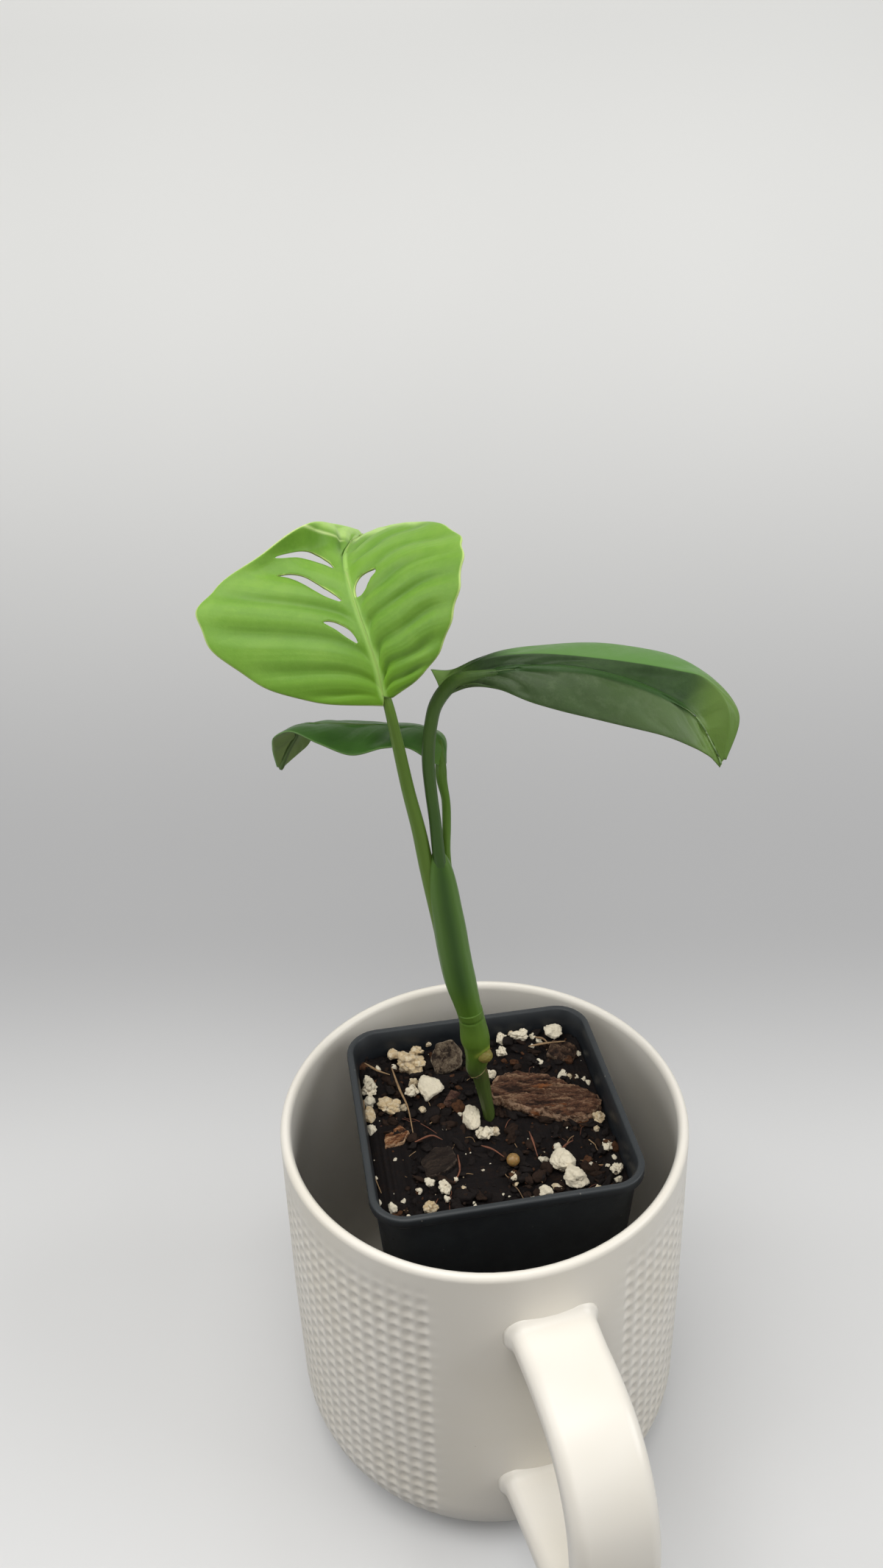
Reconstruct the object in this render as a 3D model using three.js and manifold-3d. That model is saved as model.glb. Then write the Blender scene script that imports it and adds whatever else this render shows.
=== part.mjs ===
// A young monstera esqueleto with three leaves, rooted in a square nursery pot that stands in a
// white porcelain mug. Millimetres, +Z up. The origin is the centre of the mug's flat foot, on the
// surface it stands on, and the mug's handle points along -Y.
import * as THREE from 'three';
import { mergeVertices } from 'three/addons/utils/BufferGeometryUtils.js';
import Module from 'manifold-3d';

const wasm = await Module();
wasm.setup();

const GAP = 0.3;
const SEED = 5718;
// The pot and the plant are set out as seen from the front, with the handle a little to the right
// of nearest; turning that view by this about Z brings the handle onto -Y.
const FRONT_TURN = THREE.MathUtils.degToRad(-16.8);

const MUG = {
  radius: 47, belly: 47.7, height: 95, wall: 2.5, foot: 34, bendHeight: 16.5,
  floor: 5, innerFoot: 32, innerBend: 14, innerTaper: 0.6, rimRound: 1.25, sides: 44,
  grooveIn: 27.5, grooveOut: 30.5, grooveDepth: 0.7, grooveSlope: 0.6,
};
const HANDLE = { width: 18, thickness: 7.5, round: 2.6, flare: 1.12, flareShare: 0.12, root: 45.9 };
const POT = {
  x: 1, y: 1.5, turn: THREE.MathUtils.degToRad(10.6), side: 61, bottomSide: 47, corner: 8,
  bottomCorner: 6, top: 95.4, wall: 1, lip: 1.6, lipOut: 1, lipHeight: 2.6, lipChamfer: 0.3,
  floor: 1.2, drainRadius: 4, drainInset: 12,
};
const SOIL = {
  level: 88, backRise: 0.045, relief: 0.9, rings: 8, bumps: 46, bumpSize: 2.2, bumpSpread: 3.5,
};
const PERLITE_SHAPE = {
  flatness: 0.78, heightMore: 0.6, sunk: 0.28, waves: 5, waveRate: 3.2, unevenness: 0.045,
};
const BEVEL = 0.6;
const BEAD = { x: 6.6, y: -9.8, radius: 1.5, lift: 1.3 };
const STEM_ROOT = { x: 1.4, y: 4.2, bottom: 71 };
const STEM_HOLE = { radius: 1.7, bottom: 70, top: 98 };
const BLADE = 0.8;

const LEAF_GREEN = '#7cb53f';
const OLD_GREEN = '#3f6b30';
const DARK_GREEN = '#2f5a28';
const STEM_GREEN = '#6f9436';
const PORCELAIN = '#efece6';
const POT_BLACK = '#22282c';
const SOIL_BROWN = '#241c17';
const PERLITE_WHITE = '#e9e3d4';
const BEAD_AMBER = '#c08a3a';

const at = (x, y, z) => new THREE.Vector3(x, y, z);
const points = (rows) => rows.map(([x, y, z]) => at(x, y, z));

function seededRandom(seed) {
  let state = seed;
  return () => {
    state = (state * 1664525 + 1013904223) % 4294967296;
    return state / 4294967296;
  };
}

// Closed solids

function solidOf(geometry) {
  const plain = geometry.clone();
  plain.deleteAttribute('normal');
  plain.deleteAttribute('uv');
  const merged = mergeVertices(plain, 1e-4);
  const corners = merged.index.array;
  const triVerts = [];
  for (let i = 0; i < corners.length; i += 3) {
    const [a, b, c] = [corners[i], corners[i + 1], corners[i + 2]];
    if (a !== b && b !== c && c !== a) triVerts.push(a, b, c);
  }
  return new wasm.Manifold(new wasm.Mesh({
    numProp: 3,
    vertProperties: new Float32Array(merged.attributes.position.array),
    triVerts: new Uint32Array(triVerts),
  }));
}

function geometryOf(solid) {
  const { vertProperties, triVerts } = solid.getMesh();
  const geometry = new THREE.BufferGeometry();
  geometry.setAttribute('position', new THREE.BufferAttribute(new Float32Array(vertProperties), 3));
  geometry.setIndex(new THREE.BufferAttribute(new Uint32Array(triVerts), 1));
  geometry.computeVertexNormals();
  return geometry;
}

function indexed(vertices, index) {
  const geometry = new THREE.BufferGeometry().setFromPoints(vertices);
  geometry.setIndex(index);
  return geometry;
}

// Rings of equal count, joined in order and closed at both ends.
function loft(rings) {
  const count = rings[0].length;
  const vertices = rings.flat();
  const index = [];
  for (let i = 1; i < rings.length; i++) {
    for (let j = 0; j < count; j++) {
      const a = (i - 1) * count + j;
      const b = (i - 1) * count + (j + 1) % count;
      index.push(a, b, b + count, a, b + count, a + count);
    }
  }
  const middleOf = (ring) => ring.reduce((sum, p) => sum.add(p), at(0, 0, 0)).divideScalar(count);
  const first = vertices.push(middleOf(rings[0])) - 1;
  const last = vertices.push(middleOf(rings.at(-1))) - 1;
  const lastStart = (rings.length - 1) * count;
  for (let j = 0; j < count; j++) {
    const next = (j + 1) % count;
    index.push(first, next, j, last, lastStart + j, lastStart + next);
  }
  return indexed(vertices, index);
}

// A tube along a smooth path; section(angle, t) gives the two offsets of its outline.
function tube(path, steps, sides, reference, section) {
  const curve = new THREE.CatmullRomCurve3(path);
  const rings = [];
  for (let i = 0; i <= steps; i++) {
    const t = i / steps;
    const centre = curve.getPoint(t);
    const along = curve.getTangent(t);
    const across = reference.clone().addScaledVector(along, -reference.dot(along)).normalize();
    const up = along.clone().cross(across);
    const ring = [];
    for (let j = 0; j < sides; j++) {
      const [u, v] = section((2 * Math.PI * j) / sides, t);
      ring.push(centre.clone().addScaledVector(across, u).addScaledVector(up, v));
    }
    rings.push(ring);
  }
  return loft(rings);
}

// Straight lines between [t, value] pairs.
function profile(pairs, t) {
  const next = pairs.findIndex(([key]) => key >= t);
  if (next <= 0) return pairs[next === 0 ? 0 : pairs.length - 1][1];
  const [[t0, v0], [t1, v1]] = [pairs[next - 1], pairs[next]];
  return v0 + ((v1 - v0) * (t - t0)) / (t1 - t0);
}

const roundSection = (pairs, squash = 1) => (angle, t) => {
  const radius = profile(pairs, t);
  return [radius * Math.cos(angle), radius * squash * Math.sin(angle)];
};

// Mug

function mugBody() {
  const { radius, belly, height, wall, foot, bendHeight, floor, innerFoot, innerBend, innerTaper } = MUG;
  const { rimRound, sides, grooveIn, grooveOut, grooveDepth, grooveSlope } = MUG;
  const line = [[0, 0], [grooveIn, 0], [grooveIn + grooveSlope, grooveDepth], [grooveOut, grooveDepth]];
  line.push([grooveOut + grooveSlope, 0]);
  const bendSteps = 5;
  for (let i = 0; i <= bendSteps; i++) {
    const a = (i / bendSteps) * (Math.PI / 2);
    line.push([foot + (belly - foot) * Math.sin(a), bendHeight * (1 - Math.cos(a))]);
  }
  line.push([belly, height * 0.5], [radius, height - rimRound]);
  for (let i = 1; i < 4; i++) {
    const a = (i / 4) * Math.PI;
    line.push([radius - (wall / 2) * (1 - Math.cos(a)), height - rimRound + rimRound * Math.sin(a)]);
  }
  const inner = radius - wall;
  const low = inner - innerTaper;
  line.push([inner, height - rimRound], [low, height * 0.5]);
  for (let i = 0; i <= bendSteps; i++) {
    const a = (1 - i / bendSteps) * (Math.PI / 2);
    line.push([innerFoot + (low - innerFoot) * Math.sin(a), floor + innerBend * (1 - Math.cos(a))]);
  }
  line.push([0, floor]);
  const outline = line.map(([r, z]) => new THREE.Vector2(r, z));
  return solidOf(new THREE.LatheGeometry(outline, sides).rotateX(Math.PI / 2));
}

function mugHandle() {
  const { width, thickness, round, flare, flareShare, root } = HANDLE;
  // The middle line of the strap, in the plane of the handle: distance from the axis, height.
  const middle = [
    [root, 77], [54, 77], [62, 77], [69, 75.6], [75, 71.8], [79.6, 65.5], [82.2, 57],
    [83, 48.5], [82, 40], [78.6, 33], [73, 28.6], [65, 26.9], [56, 26.3], [root, 26.3],
  ];
  const path = middle.map(([r, z]) => at(0, -r, z));
  const corners = [];
  for (const [sx, sy, start] of [[1, 1, 0], [-1, 1, 1], [-1, -1, 2], [1, -1, 3]]) {
    for (let i = 0; i < 3; i++) {
      const a = (start + i / 2) * (Math.PI / 2);
      corners.push([
        sx * (width / 2 - round) + round * Math.cos(a), sy * (thickness / 2 - round) + round * Math.sin(a),
      ]);
    }
  }
  const sides = corners.length;
  const strap = (angle, t) => {
    const [u, v] = corners[Math.round((angle / (2 * Math.PI)) * sides) % sides];
    const spread = 1 + (flare - 1) * Math.max(0, 1 - Math.min(t, 1 - t) / flareShare);
    return [u * spread, v * spread];
  };
  return solidOf(tube(path, 28, sides, at(1, 0, 0), strap));
}

// Nursery pot and potting mix

function roundedSquare(side, corner, z, perCorner = 5) {
  const ring = [];
  const inset = side / 2 - corner;
  for (const [sx, sy, start] of [[1, 1, 0], [-1, 1, 1], [-1, -1, 2], [1, -1, 3]]) {
    for (let i = 0; i < perCorner; i++) {
      const a = (start + i / (perCorner - 1)) * (Math.PI / 2);
      ring.push(at(sx * inset + corner * Math.cos(a), sy * inset + corner * Math.sin(a), z));
    }
  }
  return ring;
}

const potBottom = MUG.floor + GAP;
const soilBottom = potBottom + POT.floor + GAP;

// Outer side and corner of the tapered pot at a height.
function potAt(z) {
  const share = (z - potBottom) / (POT.top - potBottom);
  const bodySide = POT.side - 2 * POT.lipOut;
  return {
    side: POT.bottomSide + (bodySide - POT.bottomSide) * share,
    corner: POT.bottomCorner + (POT.corner - POT.bottomCorner) * share,
  };
}

function inPotFrame(geometry) {
  return geometry.rotateZ(POT.turn).translate(POT.x, POT.y, 0);
}

function nurseryPot() {
  const { side, corner, top, wall, lip, lipHeight, lipChamfer, floor, drainRadius, drainInset } = POT;
  const outside = (z) => roundedSquare(potAt(z).side, potAt(z).corner, z);
  const inside = (z) => roundedSquare(potAt(z).side - 2 * wall, potAt(z).corner - wall, z);
  const lipTop = roundedSquare(side - 2 * lipChamfer, corner - lipChamfer, top);
  const lipBottom = roundedSquare(side, corner, top - lipHeight + POT.lipOut / 2);
  const mouth = roundedSquare(side - 2 * lip, corner - lip, top);
  const shell = solidOf(inPotFrame(loft([
    outside(potBottom), outside(top - lipHeight), lipBottom, roundedSquare(side, corner, top - lipChamfer),
    lipTop, mouth, inside(top - lipHeight - wall), inside(potBottom + floor),
  ])));
  const spread = POT.bottomSide / 2 - drainInset;
  const drains = [[0, 0], [1, 1], [-1, 1], [-1, -1], [1, -1]].map(([x, y]) => {
    const drain = new THREE.CylinderGeometry(drainRadius, drainRadius, 5 * floor, 14).rotateX(Math.PI / 2);
    return solidOf(inPotFrame(drain.translate(x * spread, y * spread, potBottom + floor / 2)));
  });
  return drains.reduce((pot, drain) => pot.subtract(drain), shell);
}

// Level of the mix before its small hills: it rises a little towards the back.
const groundAt = (y) => SOIL.level + SOIL.backRise * (y - POT.y);

function pottingMix(pieces) {
  const random = seededRandom(SEED);
  const bumps = Array.from({ length: SOIL.bumps }, () => ({
    x: (random() - 0.5) * POT.side, y: (random() - 0.5) * POT.side,
    size: SOIL.bumpSize + SOIL.bumpSpread * random(), height: (2 * random() - 0.7) * SOIL.relief,
  }));
  const relief = (x, y) => bumps.reduce((sum, { x: bx, y: by, size, height }) => (
    sum + height * Math.exp(-((x - bx) ** 2 + (y - by) ** 2) / (size * size))), 0);
  const side = (z) => potAt(z).side - 2 * (POT.wall + GAP);
  const corner = (z) => potAt(z).corner - POT.wall - GAP;
  const shoulder = SOIL.level - 2 * SOIL.relief;
  const rings = [roundedSquare(side(soilBottom), corner(soilBottom), soilBottom)];
  for (let i = 0; i < SOIL.rings; i++) {
    const share = 1 - i / SOIL.rings;
    const ring = roundedSquare(side(shoulder) * share, corner(shoulder) * share, 0);
    rings.push(ring.map(({ x, y }) => at(x, y, groundAt(y + POT.y) + relief(x, y))));
  }
  let mix = solidOf(inPotFrame(loft(rings)));
  const depth = STEM_HOLE.top - STEM_HOLE.bottom;
  const hole = new THREE.CylinderGeometry(STEM_HOLE.radius, STEM_HOLE.radius, depth, 14);
  hole.rotateX(Math.PI / 2).translate(STEM_ROOT.x, STEM_ROOT.y, STEM_HOLE.bottom + depth / 2);
  mix = mix.subtract(solidOf(hole));
  for (const piece of pieces) mix = mix.subtract(piece);
  return mix;
}

// A lump of perlite: a ball with a seeded uneven radius, scaled to its three sizes.
function lump({ x, y, z, width, length, height, turn, seed }, swell) {
  const { waves: count, waveRate, unevenness } = PERLITE_SHAPE;
  const random = seededRandom(SEED + 97 * seed);
  const waves = Array.from({ length: count }, () => ({
    way: at(random() - 0.5, random() - 0.5, random() - 0.5).normalize(), phase: 6 * random(),
  }));
  const ball = mergeVertices(new THREE.IcosahedronGeometry(1, 1).deleteAttribute('normal')
    .deleteAttribute('uv'), 1e-4);
  const place = ball.attributes.position;
  for (let i = 0; i < place.count; i++) {
    const p = at(place.getX(i), place.getY(i), place.getZ(i));
    const uneven = waves.reduce((sum, { way, phase }) => sum + Math.sin(waveRate * p.dot(way) + phase), 0);
    p.multiplyScalar(1 + unevenness * uneven);
    place.setXYZ(i, p.x * (width / 2 + swell), p.y * (length / 2 + swell), p.z * (height / 2 + swell));
  }
  return solidOf(ball.rotateZ(turn).translate(x, y, z));
}

// Perlite: x, y, width, length, turn in degrees, as the pieces lie round the stem.
const PERLITE = [
  [-12.2, 12.2, 4.6, 5.5, 20], [-2.9, 3.1, 3.6, 4.8, 5], [-18.2, 20.7, 6.2, 4.9, -10],
  [-22.7, 24, 2.3, 2.8, 10], [-27.4, 11.9, 2.8, 3.5, 0], [-26.8, 4.2, 2.4, 3, 15],
  [-22.6, 6.6, 3.8, 3.1, -8], [0.3, -2, 3.1, 3.2, 30], [17.7, 31.3, 3.6, 3.5, 0],
  [4.8, 29.2, 2.4, 2.7, -20], [9.8, 30.1, 4, 2.8, 10], [4.7, 24.4, 2.2, 2.6, 0],
  [17.8, -10.2, 3.8, 4.8, -25], [20.6, -14.8, 4.4, 4, 15], [28.2, -5.6, 2.2, 2.5, 0],
  [27.1, 2.3, 2.2, 2.5, 10], [-8.9, -17.4, 2.6, 2.7, 0], [-11.6, -22.8, 2.6, 2.2, 20],
  [13.7, -18.5, 2.4, 2.2, 40], [30, -12.2, 2.2, 2.4, 0], [-17, 11.3, 2.7, 2.4, 0],
  [-16.4, 24.9, 3.2, 2.4, 8],
];

function perliteLump([x, y, width, length, turn], seed) {
  const { flatness, heightMore, sunk } = PERLITE_SHAPE;
  const height = flatness * Math.min(width, length) + heightMore;
  return {
    x, y, width, length, height, seed, turn: THREE.MathUtils.degToRad(turn),
    z: groundAt(y) + heightMore + height * (0.5 - sunk),
  };
}

// Bark chips: outline corners round the chip's own middle, thickness, place and tilt in degrees.
const BARK = [
  {
    name: 'bark_long', x: 14.9, y: 9.4, thick: 4.2, tilt: [5, 4, 0], colour: '#6a4530', lift: 1.2,
    outline: [
      [-13.6, -0.4], [-11.6, 3.8], [-7.6, 6.6], [-2, 5.9], [4, 3.8], [9.4, 1.2], [12.6, -0.8],
      [11.8, -4.6], [9, -8], [0.4, -6.4], [-8, -4.6], [-11.8, -2.8],
    ],
  },
  {
    name: 'bark_grey', x: -8.8, y: 21.6, thick: 2.2, tilt: [38, -6, 12], colour: '#6f6256', lift: 2.4,
    outline: [[-3.8, -3.6], [-4.2, 0.6], [-1.6, 3.8], [2.4, 3.6], [4, 0.4], [3, -3.4], [-0.6, -4.2]],
  },
  {
    name: 'bark_orange', x: -20.6, y: -2.6, thick: 1.8, tilt: [6, -8, 25], colour: '#a0683c', lift: 0.5,
    outline: [[-3.4, -1.6], [-1.8, 2], [2.6, 2.2], [3.6, -0.4], [1.2, -2.2]],
  },
  {
    name: 'bark_dark', x: 20, y: 24.6, thick: 2.4, tilt: [10, 6, -15], colour: '#4a3226', lift: 0.7,
    outline: [[-3.6, -2.4], [-3.2, 2], [0.4, 3.2], [3.6, 1.6], [3.4, -2], [0.2, -3.2]],
  },
  {
    name: 'bark_flat', x: -10.4, y: -9.4, thick: 1.8, tilt: [4, -5, 30], colour: '#33261f', lift: 0.4,
    outline: [[-4.4, -2.8], [-3.6, 2.2], [0.6, 3.6], [4.4, 1.8], [3.8, -2.6], [-0.4, -3.8]],
  },
  {
    name: 'bark_red', x: -7.2, y: 9.2, thick: 1.6, tilt: [8, 10, -20], colour: '#54322a', lift: 0.4,
    outline: [[-1.8, -2.2], [-1.6, 2], [1, 2.6], [1.9, 0], [0.8, -2.6]],
  },
];

function barkChip({ x, y, thick, tilt, outline, lift }, swell) {
  const reach = Math.max(...outline.map(([u, v]) => Math.hypot(u, v)));
  const grow = 1 + swell / reach;
  const shape = new THREE.Shape(outline.map(([u, v]) => new THREE.Vector2(u * grow, v * grow)));
  const bevel = Math.min(BEVEL, thick / 4);
  const chip = new THREE.ExtrudeGeometry(shape, {
    depth: thick + 2 * swell - 2 * bevel, bevelSize: bevel, bevelThickness: bevel, bevelSegments: 1,
  });
  chip.translate(0, 0, -(thick / 2 + swell - bevel));
  const [rx, ry, rz] = tilt.map((degrees) => THREE.MathUtils.degToRad(degrees));
  return solidOf(chip.rotateZ(rz).rotateX(rx).rotateY(ry).translate(x, y, groundAt(y) + lift));
}

function feedBead(swell) {
  const bead = new THREE.SphereGeometry(BEAD.radius + swell, 12, 8).rotateX(Math.PI / 2);
  return solidOf(bead.translate(BEAD.x, BEAD.y, groundAt(BEAD.y) + BEAD.lift));
}

// Plant: its paths and rails are set out as seen from the front, x to the right, y away.

const STEM_PATH = points([
  [STEM_ROOT.x, STEM_ROOT.y, STEM_ROOT.bottom], [STEM_ROOT.x, STEM_ROOT.y, 88], [0.6, 4.2, 94.7],
  [-0.5, 4.2, 102.7], [-1.5, 4.2, 106.1], [-2, 4.2, 112.8], [-2.6, 4.2, 119.6],
]);
const STEM_WIDTH = [
  [0, 1.2], [0.17, 1.2], [0.33, 1.45], [0.47, 1.55], [0.5, 2.3], [0.53, 1.8], [0.62, 2.1],
  [0.72, 2.65], [0.84, 2.75], [1, 2.3],
];
const BUD = { x: 0.6, y: 3.4, z: 107.6, radius: 1.35, stretch: 1.15 };

function stem() {
  const body = solidOf(tube(STEM_PATH, 26, 10, at(1, 0, 0), roundSection(STEM_WIDTH)));
  const bud = new THREE.SphereGeometry(BUD.radius, 12, 8).scale(1, 1, BUD.stretch);
  return body.add(solidOf(bud.translate(BUD.x, BUD.y, BUD.z)));
}

// A blade is a sheet between rails that run from base to tip; each band between two rails
// swells by its own bulge and carries furrows that slant forward from the midrib.
const LEAF_A = {
  stations: 26, bands: 5, furrows: 7.2, furrowDepth: 0.35, slant: [0.21, 0.21],
  bulge: [[[0, 0], [0.2, 0.9], [0.72, 0.9], [0.86, 2.1], [1, 0]], [[0, 0], [0.2, 0.8], [0.8, 1], [1, 0]]],
  midrib: 1, range: [0.004, 0.985],
  rails: [
    points([
      [-18.4, 0.6, 199.5], [-31, 0, 200.5], [-42, 1, 204.3], [-50.4, 4, 210.4], [-53.1, 8, 215.4],
      [-50.1, 13, 218.6], [-41.8, 18, 223.3], [-33.1, 23, 227.7], [-29.1, 35, 223.8], [-24.7, 55, 215.4],
    ]),
    points([
      [-17.5, 1, 200.7], [-18.5, 3.5, 206.2], [-20.2, 6.5, 210.8], [-22.2, 10.5, 214.9],
      [-23.8, 15, 218.1], [-25, 20.5, 220], [-25.6, 26.5, 220.1], [-25.4, 34, 219.5], [-25.1, 44, 217],
      [-24.5, 56, 214],
    ]),
    points([
      [-16.5, 0.6, 200.7], [-10.4, -3, 206.6], [-6.5, -5, 212.3], [-4, -5, 218.8], [-2.4, -3, 224.5],
      [-1.7, 1, 229], [-2.3, 7, 230.2], [-6.5, 15, 230], [-15.3, 31, 224.6], [-23.9, 55, 214.7],
    ]),
  ],
};
const LEAF_B = {
  stations: 22, bands: 3, furrows: 7, furrowDepth: 0.2, slant: [0.1, 0.1, 0.16],
  bulge: [[[0, 0], [0.5, 0.5], [1, 0]], [[0, 0], [0.5, -0.2], [1, 0]], [[0, 0], [0.5, 0.7], [1, 0]]],
  midrib: 2, range: [0.004, 0.985],
  rails: [
    points([
      [-8.7, 5, 204.5], [-5, 5.5, 204], [1.7, 7, 206.1], [10.9, 12, 205.7], [25.7, 14, 205.1],
      [39.6, 13, 202.3], [46.9, 10, 198.3], [50.7, 4, 194], [47.6, -1, 185.6],
    ]),
    points([
      [-7.6, 4.5, 202.2], [-4.2, 4.8, 203.4], [1.8, 5.2, 206.2], [10.6, 5.6, 206.9], [24.7, 6, 205.3],
      [38.3, 6, 202.7], [43.8, 5.5, 201.1], [48.1, 3, 196.4], [47.4, -1, 185.4],
    ]),
    points([
      [-6.7, 4, 199.6], [-2.6, 4, 202], [3, 4, 203.9], [10.3, 3.5, 205], [23.5, 3, 203.8],
      [36.1, 2, 198.9], [41.1, 1, 195.7], [44.2, 0, 190.9], [47.2, -1, 185.3],
    ]),
    points([
      [-6.3, 3.5, 198.6], [-1.8, 3.2, 200.4], [3.5, 1, 201.2], [10.8, -1.5, 200.1], [23.5, -3.5, 197.1],
      [35.3, -4, 193.9], [41.5, -3.5, 190.8], [44.8, -2.5, 188.2], [47, -1, 185.1],
    ]),
  ],
};
const LEAF_C = {
  stations: 20, bands: 4, furrows: 6, furrowDepth: 0.15, slant: [0.14, 0.14],
  bulge: [[[0, 0], [0.5, 0.9], [1, 0]], [[0, 0], [0.5, 0.7], [1, 0]]],
  midrib: 1, range: [0.004, 0.985],
  rails: [
    points([
      [-6.9, 10, 180], [-9.7, 7.5, 183.2], [-14, 6.5, 186.7], [-18.8, 6, 187], [-25.1, 6, 185.5],
      [-31.8, 7, 187.8], [-37.6, 10.5, 188.7], [-41.7, 14, 185.7], [-42.9, 17, 181.4],
      [-42.8, 20.5, 174.4],
    ]),
    points([
      [-6.8, 11, 180.1], [-7.2, 13, 185], [-11.4, 14, 187.2], [-17.8, 14.5, 187.5],
      [-25.3, 14.5, 187.9], [-31.3, 14.5, 188.2], [-36, 15, 187.8], [-37.9, 17, 184.1],
      [-40.3, 19, 179.5], [-42.6, 21, 173.8],
    ]),
    points([
      [-6.5, 12, 179.9], [-6.9, 17, 183.6], [-11.3, 21, 183.7], [-18.4, 23, 183.5], [-26.2, 23, 183.8],
      [-32.4, 22, 184.3], [-34.3, 21.5, 182.8], [-36, 21, 180.1], [-38.8, 21, 177.5],
      [-42.4, 21.4, 174.1],
    ]),
  ],
};

function bladeSurface({ rails, bulge, furrows, furrowDepth, slant, midrib, range }) {
  const curves = rails.map((rail) => new THREE.CatmullRomCurve3(rail));
  const plain = (t, v) => {
    const band = Math.min(Math.floor(v), curves.length - 2);
    const along = THREE.MathUtils.lerp(range[0], range[1], THREE.MathUtils.clamp(t, 0, 1));
    return curves[band].getPoint(along).lerp(curves[band + 1].getPoint(along), v - band);
  };
  const normalOf = (surface, t, v) => {
    const step = 0.004;
    const [v0, v1] = [Math.max(v - step, 0), Math.min(v + step, curves.length - 1)];
    const [t0, t1] = [Math.max(t - step, 0), Math.min(t + step, 1)];
    const across = surface(t, v1).sub(surface(t, v0));
    return across.cross(surface(t1, v).sub(surface(t0, v))).normalize();
  };
  const raised = (t, v) => {
    const band = Math.min(Math.floor(v), curves.length - 2);
    const s = v - band;
    const crown = 4 * s * (1 - s);
    const fade = Math.sin(Math.PI * THREE.MathUtils.clamp(t, 0, 1));
    const phase = 2 * Math.PI * furrows * (t - slant[band] * Math.abs(v - midrib));
    const furrow = fade * furrowDepth * Math.cos(phase) * Math.sqrt(crown);
    const height = profile(bulge[band], t) * crown + furrow;
    return plain(t, v).addScaledVector(normalOf(plain, t, v), height);
  };
  return { raised, normal: (t, v) => normalOf(raised, t, v), width: curves.length - 1 };
}

// The sheet's two faces are split into triangles alike.
function blade(leaf) {
  const { raised, normal, width } = bladeSurface(leaf);
  const rows = leaf.stations + 1;
  const columns = leaf.bands * width + 1;
  const vertices = [];
  for (const face of [0.5, -0.5]) {
    for (let i = 0; i < rows; i++) {
      for (let j = 0; j < columns; j++) {
        const [t, v] = [i / (rows - 1), (j * width) / (columns - 1)];
        vertices.push(raised(t, v).addScaledVector(normal(t, v), face * BLADE));
      }
    }
  }
  const under = rows * columns;
  const index = [];
  for (let i = 0; i + 1 < rows; i++) {
    for (let j = 0; j + 1 < columns; j++) {
      const a = i * columns + j;
      const [b, c, d] = [a + 1, a + 1 + columns, a + columns];
      index.push(a, b, c, a, c, d);
      index.push(a + under, c + under, b + under, a + under, d + under, c + under);
    }
  }
  const edge = (from, to) => index.push(from, to, to + under, from, to + under, from + under);
  for (let i = 0; i + 1 < rows; i++) {
    edge(i * columns, (i + 1) * columns);
    edge((i + 2) * columns - 1, (i + 1) * columns - 1);
  }
  for (let j = 0; j + 1 < columns; j++) {
    edge(j + 1, j);
    edge(under - columns + j, under - columns + j + 1);
  }
  return solidOf(indexed(vertices, index));
}

// Each hole of the blade is a closed curve in the blade's own measures: the share of the way
// from base to tip, and the rail number, 1 being the midrib.
const HOLES_A = [
  [[0.54, 0.91], [0.61, 0.84], [0.665, 0.65], [0.69, 0.33], [0.67, 0.19], [0.645, 0.44], [0.605, 0.66]],
  [[0.375, 0.91], [0.44, 0.87], [0.5, 0.775], [0.545, 0.49], [0.515, 0.6], [0.475, 0.72], [0.41, 0.84]],
  [[0.215, 0.9], [0.27, 0.885], [0.305, 0.825], [0.315, 0.765], [0.285, 0.79], [0.25, 0.83]],
  [[0.39, 1.03], [0.445, 1.05], [0.48, 1.115], [0.51, 1.3], [0.475, 1.25], [0.43, 1.15]],
];

// The curve's prism, square through the sheet; it is turned right side out where it needs to be.
const CUTTER_REACH = 1.5;

function holeCutter(leaf, outline) {
  const { raised, normal } = bladeSurface(leaf);
  const curve = new THREE.CatmullRomCurve3(outline.map(([t, v]) => at(t, v, 0)), true);
  const ring = curve.getPoints(14).slice(0, -1);
  const layer = (offset) => ring.map(({ x, y }) => raised(x, y).addScaledVector(normal(x, y), offset));
  const cutter = loft([layer(-CUTTER_REACH), layer(CUTTER_REACH)]);
  const solid = solidOf(cutter);
  return solid.volume() > 0 ? solid : solidOf(indexedInsideOut(cutter));
}

function indexedInsideOut(geometry) {
  const turned = geometry.clone();
  const corners = turned.index.array;
  for (let i = 0; i < corners.length; i += 3) [corners[i], corners[i + 1]] = [corners[i + 1], corners[i]];
  return turned;
}

const PETIOLE_A = points([
  [-2.7, 4.3, 120.4], [-4.6, 4.2, 128.4], [-6.6, 4.2, 138.1], [-8.9, 4.2, 148.9], [-10.9, 4, 159.5],
  [-12.5, 3.6, 168.8], [-13.9, 3, 178.8], [-15.5, 2, 190.3], [-16.7, 1.3, 198.4], [-17.9, 2.4, 203],
]);
const PETIOLE_A_WIDTH = [[0, 1.9], [0.2, 2.1], [0.45, 1.75], [0.75, 1.2], [0.9, 1], [1, 0.75]];
const SHEATH_PATH = points([
  [-2.7, 4.2, 120.4], [-4, 4.2, 128.8], [-5.5, 4.2, 137], [-6.5, 4.2, 146], [-7.6, 4.2, 154.6],
  [-8.6, 3.9, 161.5],
]);
const SHEATH_WIDTH = [[0, 2.2], [0.25, 2.7], [0.55, 2.9], [0.8, 2.75], [0.93, 2.1], [1, 0.9]];
const PETIOLE_B = points([
  [-6.9, 3, 149.6], [-7.5, 3.1, 156.2], [-8.2, 3.4, 162.6], [-8.9, 3.8, 171.1], [-9.4, 4, 178.1],
  [-9.7, 4, 185.4], [-9, 4, 192.7], [-7.6, 4.1, 197.9], [-4.1, 4.3, 202.1], [1.2, 4.4, 204],
]);
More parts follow.
